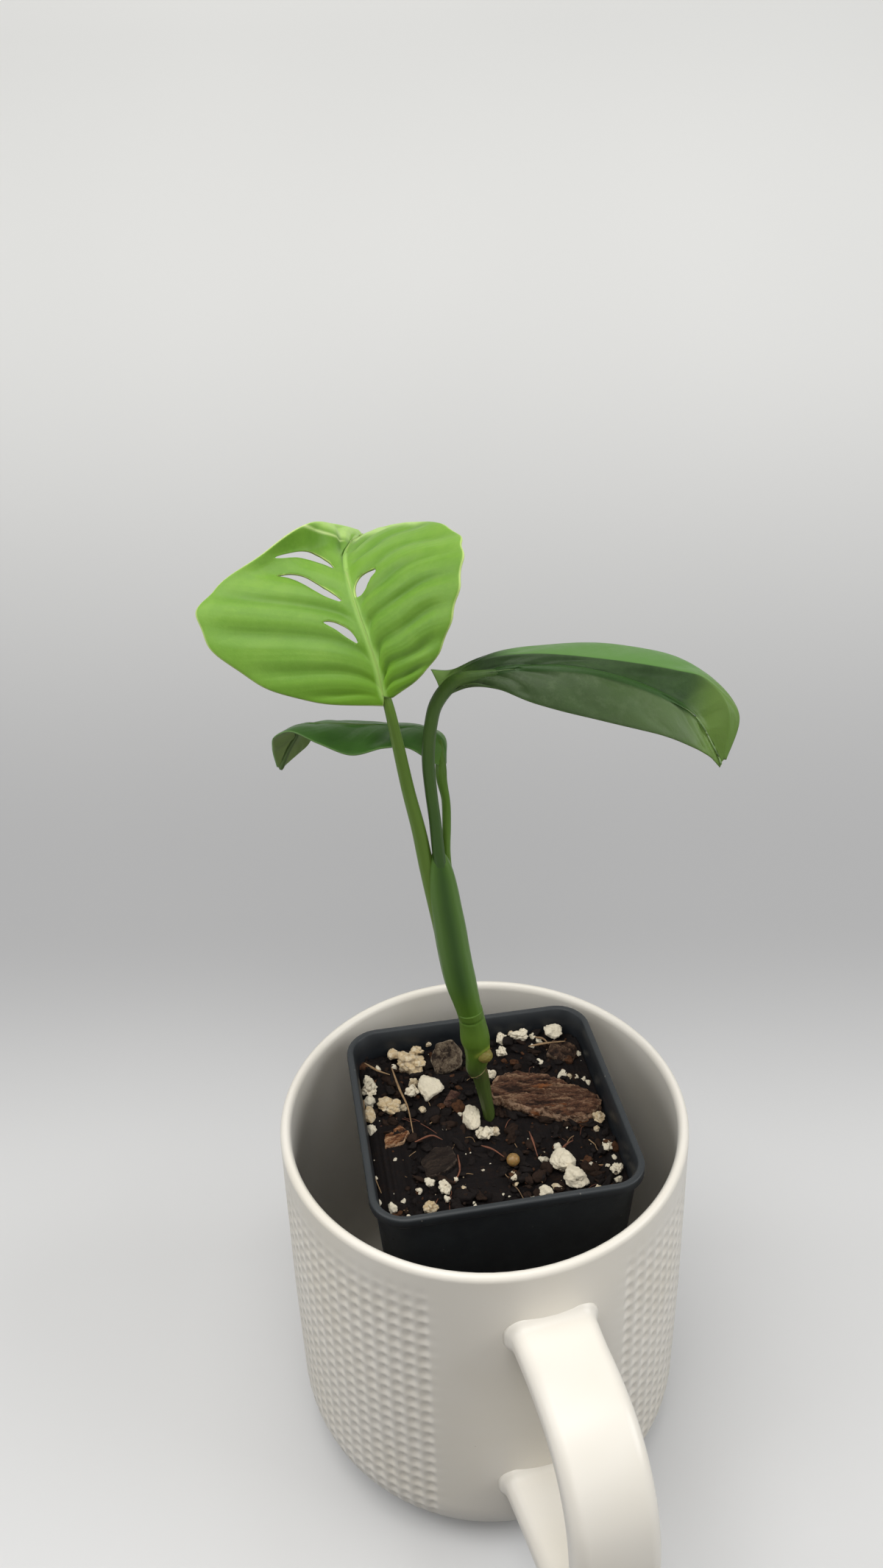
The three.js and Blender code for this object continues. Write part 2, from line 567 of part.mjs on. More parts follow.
const PETIOLE_B_WIDTH = [[0, 1.1], [0.3, 1.2], [0.7, 1.3], [0.84, 1.5], [0.93, 1.1], [1, 0.6]];
const PETIOLE_C = points([
  [-6.4, 6.3, 149.6], [-6.9, 6.4, 156], [-7.3, 6.6, 162], [-7.2, 7, 168.5], [-7, 7.5, 174],
  [-7.2, 8.4, 178.1], [-7.4, 10.2, 181.4], [-7.8, 12.8, 185],
]);
const PETIOLE_C_WIDTH = [[0, 1.05], [0.6, 1.15], [0.85, 1.3], [1, 0.7]];
const Y_AXIS = at(0, 1, 0);

function petiole(path, widths, swell, steps = 22) {
  const grown = widths.map(([t, radius]) => [t, radius + swell]);
  return solidOf(tube(path, steps, 8, Y_AXIS, roundSection(grown)));
}

function leafA() {
  const sheath = solidOf(tube(SHEATH_PATH, 16, 12, Y_AXIS, roundSection(SHEATH_WIDTH, 1.05)));
  const stalk = petiole(PETIOLE_A, PETIOLE_A_WIDTH, 0);
  const holes = HOLES_A.map((hole) => holeCutter(LEAF_A, hole));
  const cut = holes.reduce((sheet, hole) => sheet.subtract(hole), blade(LEAF_A));
  return sheath.add(stalk).add(cut)
    .subtract(petiole(PETIOLE_B, PETIOLE_B_WIDTH, GAP)).subtract(petiole(PETIOLE_C, PETIOLE_C_WIDTH, GAP));
}

const leafB = () => petiole(PETIOLE_B, PETIOLE_B_WIDTH, 0).add(blade(LEAF_B));
const leafC = () => petiole(PETIOLE_C, PETIOLE_C_WIDTH, 0).add(blade(LEAF_C));

// Assembly

const model = new THREE.Group();
const front = new THREE.Group();
front.rotation.z = FRONT_TURN;
model.add(front);

function place(parent, name, solid, color, roughness) {
  const material = new THREE.MeshStandardMaterial({ color, roughness, metalness: 0 });
  const mesh = new THREE.Mesh(geometryOf(solid), material);
  mesh.name = name;
  parent.add(mesh);
}

place(model, 'mug', mugBody().add(mugHandle()), PORCELAIN, 0.35);
place(front, 'nursery_pot', nurseryPot(), POT_BLACK, 0.5);

const lumps = PERLITE.map(perliteLump);
const pockets = [
  ...lumps.map((piece) => lump(piece, GAP)), ...BARK.map((chip) => barkChip(chip, GAP)), feedBead(GAP),
];
place(front, 'potting_mix', pottingMix(pockets), SOIL_BROWN, 0.95);
lumps.forEach((piece, i) => {
  place(front, `perlite_${String(i + 1).padStart(2, '0')}`, lump(piece, 0), PERLITE_WHITE, 0.9);
});
for (const chip of BARK) place(front, chip.name, barkChip(chip, 0), chip.colour, 0.9);
place(front, 'feed_bead', feedBead(0), BEAD_AMBER, 0.3);

place(front, 'stem', stem(), STEM_GREEN, 0.5);
place(front, 'leaf_a', leafA(), LEAF_GREEN, 0.45);
place(front, 'leaf_b', leafB(), OLD_GREEN, 0.45);
place(front, 'leaf_c', leafC(), DARK_GREEN, 0.45);

export default model;
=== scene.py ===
"""The looks of a young monstera esqueleto in a square nursery pot, standing in a white mug.

Shapes are written in millimetres as seen from the front: x to the right, y away, z up. to_frame()
turns them into the part's own frame in metres, where the mug's handle points along -Y.
"""
import math
import random

import bmesh
import bpy
import numpy as np
from mathutils import Matrix, Vector, noise


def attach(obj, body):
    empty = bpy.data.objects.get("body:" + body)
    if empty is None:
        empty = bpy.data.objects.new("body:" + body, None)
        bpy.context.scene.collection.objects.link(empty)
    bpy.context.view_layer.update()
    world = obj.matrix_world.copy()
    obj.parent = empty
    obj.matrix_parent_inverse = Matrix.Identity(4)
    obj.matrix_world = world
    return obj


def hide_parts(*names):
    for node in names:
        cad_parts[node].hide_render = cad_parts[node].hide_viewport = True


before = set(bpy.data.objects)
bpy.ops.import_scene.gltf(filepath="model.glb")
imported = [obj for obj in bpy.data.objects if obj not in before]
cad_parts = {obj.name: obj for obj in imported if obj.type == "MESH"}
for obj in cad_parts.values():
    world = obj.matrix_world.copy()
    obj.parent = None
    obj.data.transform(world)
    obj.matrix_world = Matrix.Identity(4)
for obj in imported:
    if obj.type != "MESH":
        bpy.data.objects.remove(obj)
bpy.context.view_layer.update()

MM = 0.001
SEED = 5718
FRONT_TURN = math.radians(-16.8)
ALONG_HANDLE = math.radians(-90) - FRONT_TURN

CAMERA = {
    "place": (0, -211.67, 304.65), "yaw": -0.033606, "pitch": 0.524754, "roll": -0.034053, "lens": 28.54,
}
# Each light: its place and the place it faces, its width in metres, its power and its colour.
LIGHTS = {
    "overhead": ((-100, -90, 860), (0, 0, 90), 0.75, 4.9, (1, 0.985, 0.955)),
    "left_window": ((-560, -110, 450), (0, 0, 100), 0.5, 1.65, (0.97, 0.985, 1)),
    "right_window": ((590, -110, 450), (0, 0, 100), 0.5, 2.4, (0.97, 0.985, 1)),
    "front": ((100, -640, 470), (0, 0, 110), 0.5, 0.85, (1, 0.99, 0.97)),
    "low_fill": ((20, -560, 60), (0, -20, 70), 0.4, 0.14, (1, 0.93, 0.88)),
}
SKY_LIGHT = 0.08
# The paper lies flat from its front to its bend and then stands up behind the mug.
SWEEP = {"half_width": 1600, "front": -1400, "back": 420, "bend": 320, "top": 1700, "bend_steps": 40}
MUG = {
    "radius": 47, "belly": 47.7, "height": 95, "wall": 2.5, "foot": 34, "bend_height": 16.5, "floor": 5,
    "inner_foot": 32, "inner_bend": 14, "inner_taper": 0.6, "rim_out": 1.4, "rim_in": 1.8,
    "groove_in": 27.5, "groove_out": 30.5, "groove_depth": 0.7, "groove_slope": 0.6, "ring_radii": (14, 16),
    "inner_levels": (85, 70, 58, 47, 32), "bend_steps": 400, "inner_bend_steps": 10, "rim_steps": 16,
}
DIMPLE = {
    "smooth_sector": math.radians(56.4), "smooth_turn": math.radians(-4.9), "columns": 76, "row": 3.7,
    "depth": 0.58, "skew": 0.75, "across": 0.82, "tall": 0.95, "per_column": 5, "per_row": 7,
    "bottom": 2.5, "fade_bottom": 5, "fade_top": 79, "top": 92.5, "margin_steps": (0.18, 0.35, 0.5),
    "rings_below": 4, "rings_above": 6, "smooth_columns": 12,
}
HANDLE = {
    "thickness": 7.5, "round": 3, "fillet": 2.8, "fillet_out": 1.3, "fillet_curve": 2.6, "rings": 120,
    "root_rings": 36, "roots": ((0.012, 0.05), (0.94, 0.988)), "corner_steps": 9,
}
HANDLE_WIDTHS = ((0, 18.8), (0.06, 18), (0.7, 18), (0.82, 19), (0.92, 20), (1, 22))
HANDLE_LINE = [
    (45.9, 77), (54, 77), (62, 77), (69, 75.6), (75, 71.8), (79.6, 65.5), (82.2, 57), (83, 48.5),
    (82, 40), (78.6, 33), (73, 28.6), (65, 26.9), (56, 26.3), (45.9, 26.3),
]
POT = {
    "x": 1, "y": 1.5, "turn": math.radians(10.6), "side": 61, "bottom_side": 47, "corner": 8,
    "bottom_corner": 6, "top": 95.4, "bottom": 5.3, "wall": 1, "lip": 1.6, "lip_out": 1, "lip_height": 2.6,
    "lip_round": 0.5, "floor": 1.2, "corner_steps": 12, "outer_levels": (30, 60), "inner_levels": (80, 50),
}
SOIL = {"level": 88, "back_rise": 0.045, "bottom": 6.8, "rings": 120, "corner_steps": 90, "play": 0.1}
# What is strewn at random over the mix, within a reach of its middle along both sides.
CRUMBS = {"count": 1000, "reach": 27.2, "sizes": (0.5, 0.7, 0.9, 1.2, 1.6, 2.6)}
TINY_SPECKS = {"count": 110, "reach": 27, "sizes": (0.22, 0.55)}
TINY_FIBRES = {"count": 26, "reach": 25, "half_lengths": (1.2, 3.2)}
BLADE_THICKNESS = 0.5
FURROW_SHARPNESS = 1.8
FINE_DEPTH = 0.02
# How far red, green and blue light spread inside a leaf or a stalk, each as a share.
GREEN_GLOW = (0.6, 1, 0.3)


def to_frame(points):
    """Millimetres as seen from the front to metres in the part's frame."""
    cos, sin = math.cos(FRONT_TURN), math.sin(FRONT_TURN)
    turn = np.array([[cos, -sin, 0], [sin, cos, 0], [0, 0, 1]])
    return np.asarray(points, float) @ turn.T * MM


def unit(vectors):
    return vectors / np.maximum(np.linalg.norm(vectors, axis=-1, keepdims=True), 1e-9)


def smoothstep(low, high, value):
    share = np.clip((np.asarray(value, float) - low) / (high - low), 0, 1)
    return share * share * (3 - 2 * share)


def plateau(rise, fall, value):
    """0 before the rise, 1 between the two and 0 past the fall."""
    return smoothstep(*rise, value) * (1 - smoothstep(*fall, value))


def hump(value, middle, width):
    """1 at the middle, falling off within a width to each side."""
    return np.exp(-(((value - middle) / width) ** 2))


def run_of(line):
    """How far along a line each of its points lies."""
    return np.concatenate([[0], np.cumsum(np.linalg.norm(np.diff(line, axis=0), axis=1))])


def spun(points, angle):
    """Points turned about the upright axis."""
    points = np.asarray(points, float)
    x, y, z = (points[..., k] for k in range(3))
    cos, sin = math.cos(angle), math.sin(angle)
    return np.stack([x * cos - y * sin, x * sin + y * cos, z], -1)


def corner_arcs(steps):
    """Round a rounded rectangle: which corner, by two signs, and the way out from its centre."""
    for sx, sy, start in ((1, 1, 0), (-1, 1, 1), (-1, -1, 2), (1, -1, 3)):
        for i in range(steps):
            a = (start + i / (steps - 1)) * math.pi / 2
            yield sx, sy, math.cos(a), math.sin(a)


# Camera, lights and floor

def add_camera():
    yaw, pitch, roll = CAMERA["yaw"], CAMERA["pitch"], CAMERA["roll"]
    ahead = Vector((math.sin(yaw) * math.cos(pitch), math.cos(yaw) * math.cos(pitch), -math.sin(pitch)))
    level = Vector((math.cos(yaw), -math.sin(yaw), 0))
    rise = level.cross(ahead)
    right = level * math.cos(roll) + rise * math.sin(roll)
    up = rise * math.cos(roll) - level * math.sin(roll)
    data = bpy.data.cameras.new("camera")
    data.lens = CAMERA["lens"]
    data.sensor_width = 36
    data.clip_start = 0.01
    camera = bpy.data.objects.new("camera", data)
    bpy.context.scene.collection.objects.link(camera)
    turned = Matrix((right, up, -ahead)).transposed().to_4x4()
    turned.translation = Vector(CAMERA["place"]) * MM
    camera.matrix_world = Matrix.Rotation(FRONT_TURN, 4, "Z") @ turned
    bpy.context.scene.camera = camera


def add_area_light(name, place, target, size, power, colour):
    data = bpy.data.lights.new(name, "AREA")
    data.shape = "DISK"
    data.size = size
    data.energy = power
    data.color = colour
    light = bpy.data.objects.new(name, data)
    bpy.context.scene.collection.objects.link(light)
    start, end = (Vector(to_frame([p])[0]) for p in (place, target))
    light.location = start
    light.rotation_euler = (end - start).to_track_quat("-Z", "Y").to_euler()


def add_studio():
    world = bpy.data.worlds.new("world")
    bpy.context.scene.world = world
    world.use_nodes = True
    background = world.node_tree.nodes["Background"]
    background.inputs["Color"].default_value = (1, 1, 1, 1)
    background.inputs["Strength"].default_value = SKY_LIGHT
    bpy.context.scene.view_settings.view_transform = "Standard"
    for name, values in LIGHTS.items():
        add_area_light(name, *values)

    front, back, bend = SWEEP["front"], SWEEP["back"], SWEEP["bend"]
    line = [(y, 0) for y in np.arange(front, back - bend + 1, 25)]
    for a in math.radians(90) / SWEEP["bend_steps"] * np.arange(1, SWEEP["bend_steps"] + 1):
        line.append((back - bend + bend * math.sin(a), bend * (1 - math.cos(a))))
    line += [(back, z) for z in range(bend + 30, SWEEP["top"], 60)]
    line = np.array(line)
    points = [(x, y, z) for y, z in line for x in (-SWEEP["half_width"], SWEEP["half_width"])]
    faces = [(2 * i, 2 * i + 1, 2 * i + 3, 2 * i + 2) for i in range(len(line) - 1)]
    mesh = bpy.data.meshes.new("sweep")
    mesh.from_pydata(to_frame(points).tolist(), [], faces)
    away = mesh.attributes.new("away", "FLOAT", "POINT")
    away.data.foreach_set("value", np.repeat(run_of(line) + front, 2).astype(np.float32))
    mesh.shade_smooth()
    sweep = bpy.data.objects.new("sweep", mesh)
    bpy.context.scene.collection.objects.link(sweep)
    paper = Look("paper", (221, 221, 221), 0.9)
    # Painted shade and light: the paper is painted darker grey just behind the mug and lighter up the wall.
    paper.tint("away", 50, 190, 0, 1, (174, 174, 175))
    paper.tint("away", 210, 560, 0, 1, (240, 240, 238))
    paper.patches((320, 2), 0.3, 0.8, 0.1, (168, 168, 168))
    mesh.materials.append(paper.material)
    # The bright paper would light the mug's sides too strongly from below.
    sweep.visible_diffuse = False


# Materials

def linear(colour):
    """A colour from 0 to 255, as a screen shows it, to the shader's own values."""
    shares = [c / 255 for c in colour]
    return tuple(s / 12.92 if s <= 0.04045 else ((s + 0.055) / 1.055) ** 2.4 for s in shares) + (1.0,)


class Look:
    """A material whose colour is mixed step by step, each step on top of the last."""

    def __init__(self, name, colour, roughness, **fixed):
        self.material = bpy.data.materials.new(name)
        self.material.use_nodes = True
        self.nodes = self.material.node_tree.nodes
        self.links = self.material.node_tree.links
        self.shader = self.nodes["Principled BSDF"]
        self.shader.inputs["Roughness"].default_value = roughness
        self.shader.inputs["Base Color"].default_value = linear(colour)
        for socket, value in fixed.items():
            self.shader.inputs[socket.replace("_", " ")].default_value = value
        self.colour = linear(colour)
        self.height = None
        self.place = self.nodes.new("ShaderNodeTexCoord").outputs["Object"]

    def feed(self, socket, value):
        if isinstance(value, bpy.types.NodeSocket):
            self.links.new(value, socket)
        else:
            socket.default_value = value

    def new(self, kind, **inputs):
        """A node of a kind with its inputs fed. Their names have a _ for each space."""
        node = self.nodes.new("ShaderNode" + kind)
        for socket, value in inputs.items():
            self.feed(node.inputs[socket.replace("_", " ")], value)
        return node

    def stretched(self, scale):
        return self.new("Mapping", Vector=self.place, Scale=scale).outputs["Vector"]

    def noise(self, size, detail=4, roughness=0.6, distortion=0, place=None):
        """Noise whose largest features measure about size millimetres."""
        node = self.new("TexNoise", Vector=place or self.place, Scale=1 / (size * MM), Detail=detail,
                        Roughness=roughness, Distortion=distortion)
        return node.outputs["Fac"]

    def cells(self, size):
        """How far each place lies from the middle of its cell."""
        return self.new("TexVoronoi", Vector=self.place, Scale=1 / (size * MM)).outputs["Distance"]

    def measure(self, name):
        """A value that the mesh holds at each of its points."""
        node = self.nodes.new("ShaderNodeAttribute")
        node.attribute_name = name
        return node.outputs["Fac"]

    def between(self, value, low, high, to_low=0, to_high=1):
        """A value's smooth rise from to_low at low to to_high at high."""
        node = self.new("MapRange", Value=value, From_Min=low, From_Max=high, To_Min=to_low, To_Max=to_high)
        node.interpolation_type = "SMOOTHSTEP"
        return node.outputs["Result"]

    def times(self, a, b):
        node = self.nodes.new("ShaderNodeMath")
        node.operation = "MULTIPLY"
        self.feed(node.inputs[0], a)
        self.feed(node.inputs[1], b)
        return node.outputs["Value"]

    def mix(self, share, colour):
        """Lays a colour over the mixed one, by a share from 0 to 1."""
        node = self.nodes.new("ShaderNodeMix")
        node.data_type = "RGBA"
        self.feed(node.inputs["Factor"], share)
        self.feed(node.inputs["A"], self.colour)
        self.feed(node.inputs["B"], linear(colour))
        self.colour = node.outputs["Result"]
        self.links.new(self.colour, self.shader.inputs["Base Color"])

    def patches(self, noise, low, high, most, colour):
        """Lays a colour over where a noise is high. The noise is given by its size, detail and roughness."""
        self.mix(self.between(self.noise(*noise), low, high, 0, most), colour)

    def tint(self, measure, low, high, to_low, to_high, colour):
        """Lays a colour over by a measure of the mesh."""
        self.mix(self.between(self.measure(measure), low, high, to_low, to_high), colour)

    def dots(self, size, low, high, most, where):
        """The share of small round dots, one to a cell, in the places where a noise is high."""
        return self.times(self.between(self.cells(size), low, high, most, 0), self.between(*where))

    def bump(self, height, depth):
        """Raises the surface by height, whose 0 to 1 stands for depth millimetres."""
        node = self.new("Bump", Strength=1, Distance=depth * MM, Height=height)
        if self.height is not None:
            self.links.new(self.height, node.inputs["Normal"])
        self.height = node.outputs["Normal"]
        self.links.new(self.height, self.shader.inputs["Normal"])

    def roughen(self, share, low, high):
        self.links.new(self.between(share, 0, 1, low, high), self.shader.inputs["Roughness"])


# Meshes

def smooth_line(points, shares):
    """Points of a centripetal Catmull-Rom curve at the shares, 0 to 1, of its run."""
    points = np.asarray(points, float)
    spans = len(points) - 1
    ends = np.vstack([2 * points[0] - points[1], points, 2 * points[-1] - points[-2]])
    along = np.clip(shares, 0, 1) * spans
    first = np.minimum(along.astype(int), spans - 1)
    w = (along - first)[..., None]
    p0, p1, p2, p3 = (ends[first + k] for k in range(4))
    pairs = ((p0, p1), (p1, p2), (p2, p3))
    d0, d1, d2 = (np.maximum(np.sqrt(np.linalg.norm(b - a, axis=-1, keepdims=True)), 1e-4) for a, b in pairs)
    t1 = ((p1 - p0) / d0 - (p2 - p0) / (d0 + d1) + (p2 - p1) / d1) * d1
    t2 = ((p2 - p1) / d1 - (p3 - p1) / (d1 + d2) + (p3 - p2) / d2) * d1
    return p1 + t1 * w + (3 * (p2 - p1) - 2 * t1 - t2) * w ** 2 + (2 * (p1 - p2) + t1 + t2) * w ** 3


def closed_line(points, count):
    """Points of a closed smooth curve through the given ones."""
    looped = list(points[-3:]) + list(points) + list(points[:3])
    spans = len(looped) - 1
    shares = (3 + np.arange(count) / count * len(points)) / spans
    return smooth_line(looped, shares)


def profile(pairs, shares, soften=0.04):
    """Values between [share, value] pairs, with the corners rounded off."""
    keys, values = zip(*pairs)
    spread = np.linspace(-soften, soften, 9)
    return np.mean([np.interp(np.asarray(shares) + d, keys, values) for d in spread], axis=0)


def grid_faces(rows, columns, wrap=False):
    """Quads of a grid of points laid row by row; wrap joins the last column to the first."""
    i, j = np.meshgrid(np.arange(rows - 1), np.arange(columns if wrap else columns - 1), indexing="ij")
    a = i * columns + j
    b = i * columns + (j + 1) % columns
    return np.stack([a, b, b + columns, a + columns], -1).reshape(-1, 4)


def flat_ended(rows, columns):
    """Faces of a stack of rings whose first and last one are filled."""
    ends = [list(range(columns))[::-1], list(range((rows - 1) * columns, rows * columns))]
    return grid_faces(rows, columns, wrap=True).tolist() + ends


def fan_ended(rows, columns):
    """Faces of a stack of rings closed by fans to two more points, the first ring's middle and the last's."""
    first, last, top = rows * columns, rows * columns + 1, (rows - 1) * columns
    start = [(first, (j + 1) % columns, j) for j in range(columns)]
    end = [(last, top + j, top + (j + 1) % columns) for j in range(columns)]
    return grid_faces(rows, columns, wrap=True).tolist() + start + end


def add_piece(name, points, faces, looks, stands_for=(), face_looks=None, measures=None):
    """A smooth mesh in the part's frame. looks are its materials, and face_looks picks one for each face."""
    mesh = bpy.data.meshes.new(name)
    mesh.from_pydata(to_frame(points).tolist(), [], [list(f) for f in faces])
    for look in looks:
        mesh.materials.append(look.material)
    if face_looks is not None:
        mesh.polygons.foreach_set("material_index", np.asarray(face_looks, np.int32))
    for measure, values in (measures or {}).items():
        attribute = mesh.attributes.new(measure, "FLOAT", "POINT")
        attribute.data.foreach_set("value", np.asarray(values, np.float32))
    mesh.shade_smooth()
    mesh.update()
    piece = bpy.data.objects.new(name, mesh)
    bpy.context.scene.collection.objects.link(piece)
    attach(piece, "root")
    if stands_for:
        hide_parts(*stands_for)


def capped_tube(path, widths, steps, sides, squash=1.0, reference=(0, 1, 0), relief=None):
    """Points and faces of a closed tube. relief(angle, share) is added to the radius."""
    shares = np.linspace(0, 1, steps)
    centre = smooth_line(path, shares)
    along = unit(np.gradient(centre, axis=0))
    reference = np.asarray(reference, float)
    across = unit(reference - along * (along @ reference)[:, None])
    up = np.cross(along, across)
    angle = np.linspace(0, 2 * math.pi, sides, endpoint=False)[None, :]
    radius = profile(widths, shares)[:, None] + np.zeros_like(angle)
    if relief is not None:
        radius = radius + relief(angle, shares[:, None])
    u = (radius * np.cos(angle))[..., None]
    v = (radius * squash * np.sin(angle))[..., None]
    rings = centre[:, None] + across[:, None] * u + up[:, None] * v
    return np.vstack([rings.reshape(-1, 3), centre[0], centre[-1]]), fan_ended(steps, sides)


def joined(parts):
    """Several points-and-faces pairs as one."""
    points, faces, count = [], [], 0
    for some_points, some_faces in parts:
        points.append(np.asarray(some_points, float))
        faces.extend([[i + count for i in face] for face in some_faces])
        count += len(some_points)
    return np.vstack(points), faces


def ball(level):
    """Points and faces of a unit icosphere."""
    shape = bmesh.new()
    bmesh.ops.create_icosphere(shape, subdivisions=level, radius=1)
    points = np.array([v.co for v in shape.verts])
    faces = [[v.index for v in f.verts] for f in shape.faces]
    shape.free()
    return points, faces


# Mug

def mug_line():
    """The mug's outline from the foot's middle round to the floor's: radius, height, how deep a dimple
    is there up its row, 0 to 1, and 1 on the outer wall."""
    m, d = MUG, DIMPLE
    under, above = m["ring_radii"]
    slope, deep = m["groove_slope"], m["groove_depth"]
    line = [(0, 0), (under, 0), (m["groove_in"], 0), (m["groove_in"] + slope, deep)]
    line += [(m["groove_out"], deep), (m["groove_out"] + slope, 0), (m["foot"], 0)]
    outer = []
    for a in np.linspace(0, math.pi / 2, m["bend_steps"]):
        out = (m["belly"] - m["foot"]) * math.sin(a)
        outer.append((m["foot"] + out, m["bend_height"] * (1 - math.cos(a))))
    outer += [(m["belly"], m["height"] / 2), (m["radius"], m["height"] - m["rim_out"])]
    outer = np.array(outer)
    run = run_of(outer)
    from_run = np.interp(d["bottom"], outer[:, 1], run)
    to_run = np.interp(d["top"], outer[:, 1], run)
    step = d["row"] / d["per_row"]
    rows = int((to_run - from_run) / step)
    plain_bottom = np.linspace(0, from_run, d["rings_below"] + 2)[1:-1]
    plain_top = np.linspace(from_run + rows * step, run[-1], d["rings_above"] + 1)[1:]
    runs = np.concatenate([plain_bottom, from_run + step * np.arange(rows + 1), plain_top])
    radii, heights = np.interp(runs, run, outer[:, 0]), np.interp(runs, run, outer[:, 1])
    # A dimple falls in gently from above and comes out steeply at its lower edge.
    up_row = ((runs - from_run) / d["row"] + 0.5) % 1
    dimples = 1 - ((2 * up_row ** d["skew"] - 1) / d["tall"]) ** 2
    rim = []
    for a in np.linspace(0, math.pi, m["rim_steps"] + 1)[1:]:
        fall = m["rim_out"] if a < math.pi / 2 else m["rim_in"]
        rim.append((m["radius"] - m["wall"] / 2 * (1 - math.cos(a)), m["height"] - fall * (1 - math.sin(a))))
    inner = m["radius"] - m["wall"]
    low = inner - m["inner_taper"]
    half_way = [m["height"] / 2, m["height"]]
    inside = [(np.interp(z, half_way, [low, inner]), z) for z in m["inner_levels"]]
    for a in np.linspace(math.pi / 2, 0, m["inner_bend_steps"]):
        inside.append((m["inner_foot"] + (low - m["inner_foot"]) * math.sin(a),
                       m["floor"] + m["inner_bend"] * (1 - math.cos(a))))
    inside += [(above, m["floor"]), (0, m["floor"])]
    heads = [(r, z, 0, 0) for r, z in line]
    walls = [(r, z, dimple, 1) for r, z, dimple in zip(radii, heights, dimples)]
    tails = [(r, z, 0, 0) for r, z in rim + inside]
    return np.array(heads + walls + tails)


def mug_columns():
    """Angles round the mug from the handle's direction, and how deep a dimple is there across its
    column, 0 to 1."""
    d = DIMPLE
    last_column = d["columns"] - 1
    across = np.arange(last_column * d["per_column"] + 1) / d["per_column"]
    beside = np.array(d["margin_steps"])
    dimpled = np.concatenate([-beside[::-1], across, last_column + beside])
    sector = 2 * math.pi - d["smooth_sector"]
    angles = d["smooth_sector"] / 2 + sector * dimpled / last_column
    first, last = angles[0], angles[-1]
    plain = np.linspace(last, first + 2 * math.pi, d["smooth_columns"] + 2)[1:-1]
    bowls = 1 - (2 * (dimpled - np.round(dimpled)) / d["across"]) ** 2
    return np.concatenate([angles, plain]) + d["smooth_turn"], np.concatenate([bowls, np.zeros(len(plain))])


def add_mug():
    d = DIMPLE
    porcelain = Look("porcelain", (235, 230, 220), 0.34)
    porcelain.patches((30, 2), 0.35, 0.75, 1, (231, 225, 212))
    specks = porcelain.dots(9, 0.015, 0.03, 0.35, (porcelain.noise(14, 1), 0.6, 0.66))
    porcelain.mix(specks, (150, 140, 128))
    porcelain.roughen(porcelain.noise(4, 3), 0.28, 0.42)
    porcelain.bump(porcelain.noise(1.2, 2), 0.012)

    line = mug_line()
    angles, bowls = mug_columns()
    radius, height, rows, walls = (line[:, k][:, None] for k in range(4))
    strength = plateau((d["bottom"], d["fade_bottom"]), (d["fade_top"], d["top"]), height)
    slope = np.gradient(line[:, :2], axis=0)
    outward = unit(np.stack([slope[:, 1], -slope[:, 0]], 1))
    depth = d["depth"] * np.maximum(rows + bowls[None, :] - 1, 0) * strength * walls
    r = radius - depth * outward[:, 0][:, None]
    z = height - depth * outward[:, 1][:, None] + np.zeros_like(r)
    turn = ALONG_HANDLE + angles[None, :]
    rings = np.stack([r * np.cos(turn), r * np.sin(turn), z], -1)
    points = np.vstack([rings[1:-1].reshape(-1, 3), (0, 0, line[0, 1]), (0, 0, line[-1, 1])])
    faces = fan_ended(len(line) - 2, len(angles))
    add_piece("mug_body", points, faces, [porcelain], ["mug"])
    add_handle(porcelain)


def wall_radius(height):
    levels = [MUG["bend_height"], MUG["height"] / 2, MUG["height"]]
    return np.interp(height, levels, [MUG["belly"], MUG["belly"], MUG["radius"]])


def add_handle(porcelain):
    h = HANDLE
    sideways = np.array([1.0, 0, 0])
    # More rings where the handle flares into the wall.
    roots = [np.linspace(*root, h["root_rings"]) for root in h["roots"]]
    shares = np.unique(np.concatenate([np.linspace(0, 1, h["rings"]), *roots]))
    middle = smooth_line([(0, r, z) for r, z in HANDLE_LINE], shares)
    along = unit(np.gradient(middle, shares, axis=0))
    up = np.cross(along, sideways)
    corners, outward = [], []
    for sx, sy, cos, sin in corner_arcs(h["corner_steps"]):
        outward.append((cos, sin))
        corners.append((sx, sy * (h["thickness"] / 2 - h["round"]) + h["round"] * sin))
    corners, outward = np.array(corners), np.array(outward)
    half = profile(HANDLE_WIDTHS, shares)[:, None] / 2 - h["round"]
    across = half * corners[None, :, 0] + h["round"] * outward[None, :, 0]
    rings = middle[:, None] + sideways * across[..., None] + up[:, None] * corners[None, :, 1:]
    past_wall = np.hypot(rings[..., 0], rings[..., 1]) - wall_radius(rings[..., 2])
    near = np.clip(1 - past_wall / h["fillet"], 0, 1)
    flare = (h["fillet_out"] * near ** h["fillet_curve"])[..., None]
    rings += sideways * (outward[None, :, :1] * flare) + up[:, None] * (outward[None, :, 1:] * flare)
    points = spun(rings.reshape(-1, 3), ALONG_HANDLE - math.pi / 2)
    faces = flat_ended(len(shares), len(corners))
    add_piece("mug_handle", points, faces, [porcelain], ["mug"])


# Nursery pot

def rounded_square(side, corner, z, per_corner=POT["corner_steps"]):
    inset = side / 2 - corner
    arcs = corner_arcs(per_corner)
    return np.array([(sx * inset + corner * cos, sy * inset + corner * sin, z) for sx, sy, cos, sin in arcs])


def in_pot(points):
    """Points given from the pot's middle and along its sides, as seen from the front."""
    return spun(points, POT["turn"]) + (POT["x"], POT["y"], 0)


def strewn(draw, reach):
    """A random place on the mix, within a reach of its middle along both sides."""
    return in_pot([draw.uniform(-reach, reach), draw.uniform(-reach, reach), 0])[:2]


def pot_at(z):
    """Outer side and corner of the tapered pot at a height."""
    share = (z - POT["bottom"]) / (POT["top"] - POT["bottom"])
    body_side = POT["side"] - 2 * POT["lip_out"]
    side = POT["bottom_side"] + (body_side - POT["bottom_side"]) * share
    return side, POT["bottom_corner"] + (POT["corner"] - POT["bottom_corner"]) * share


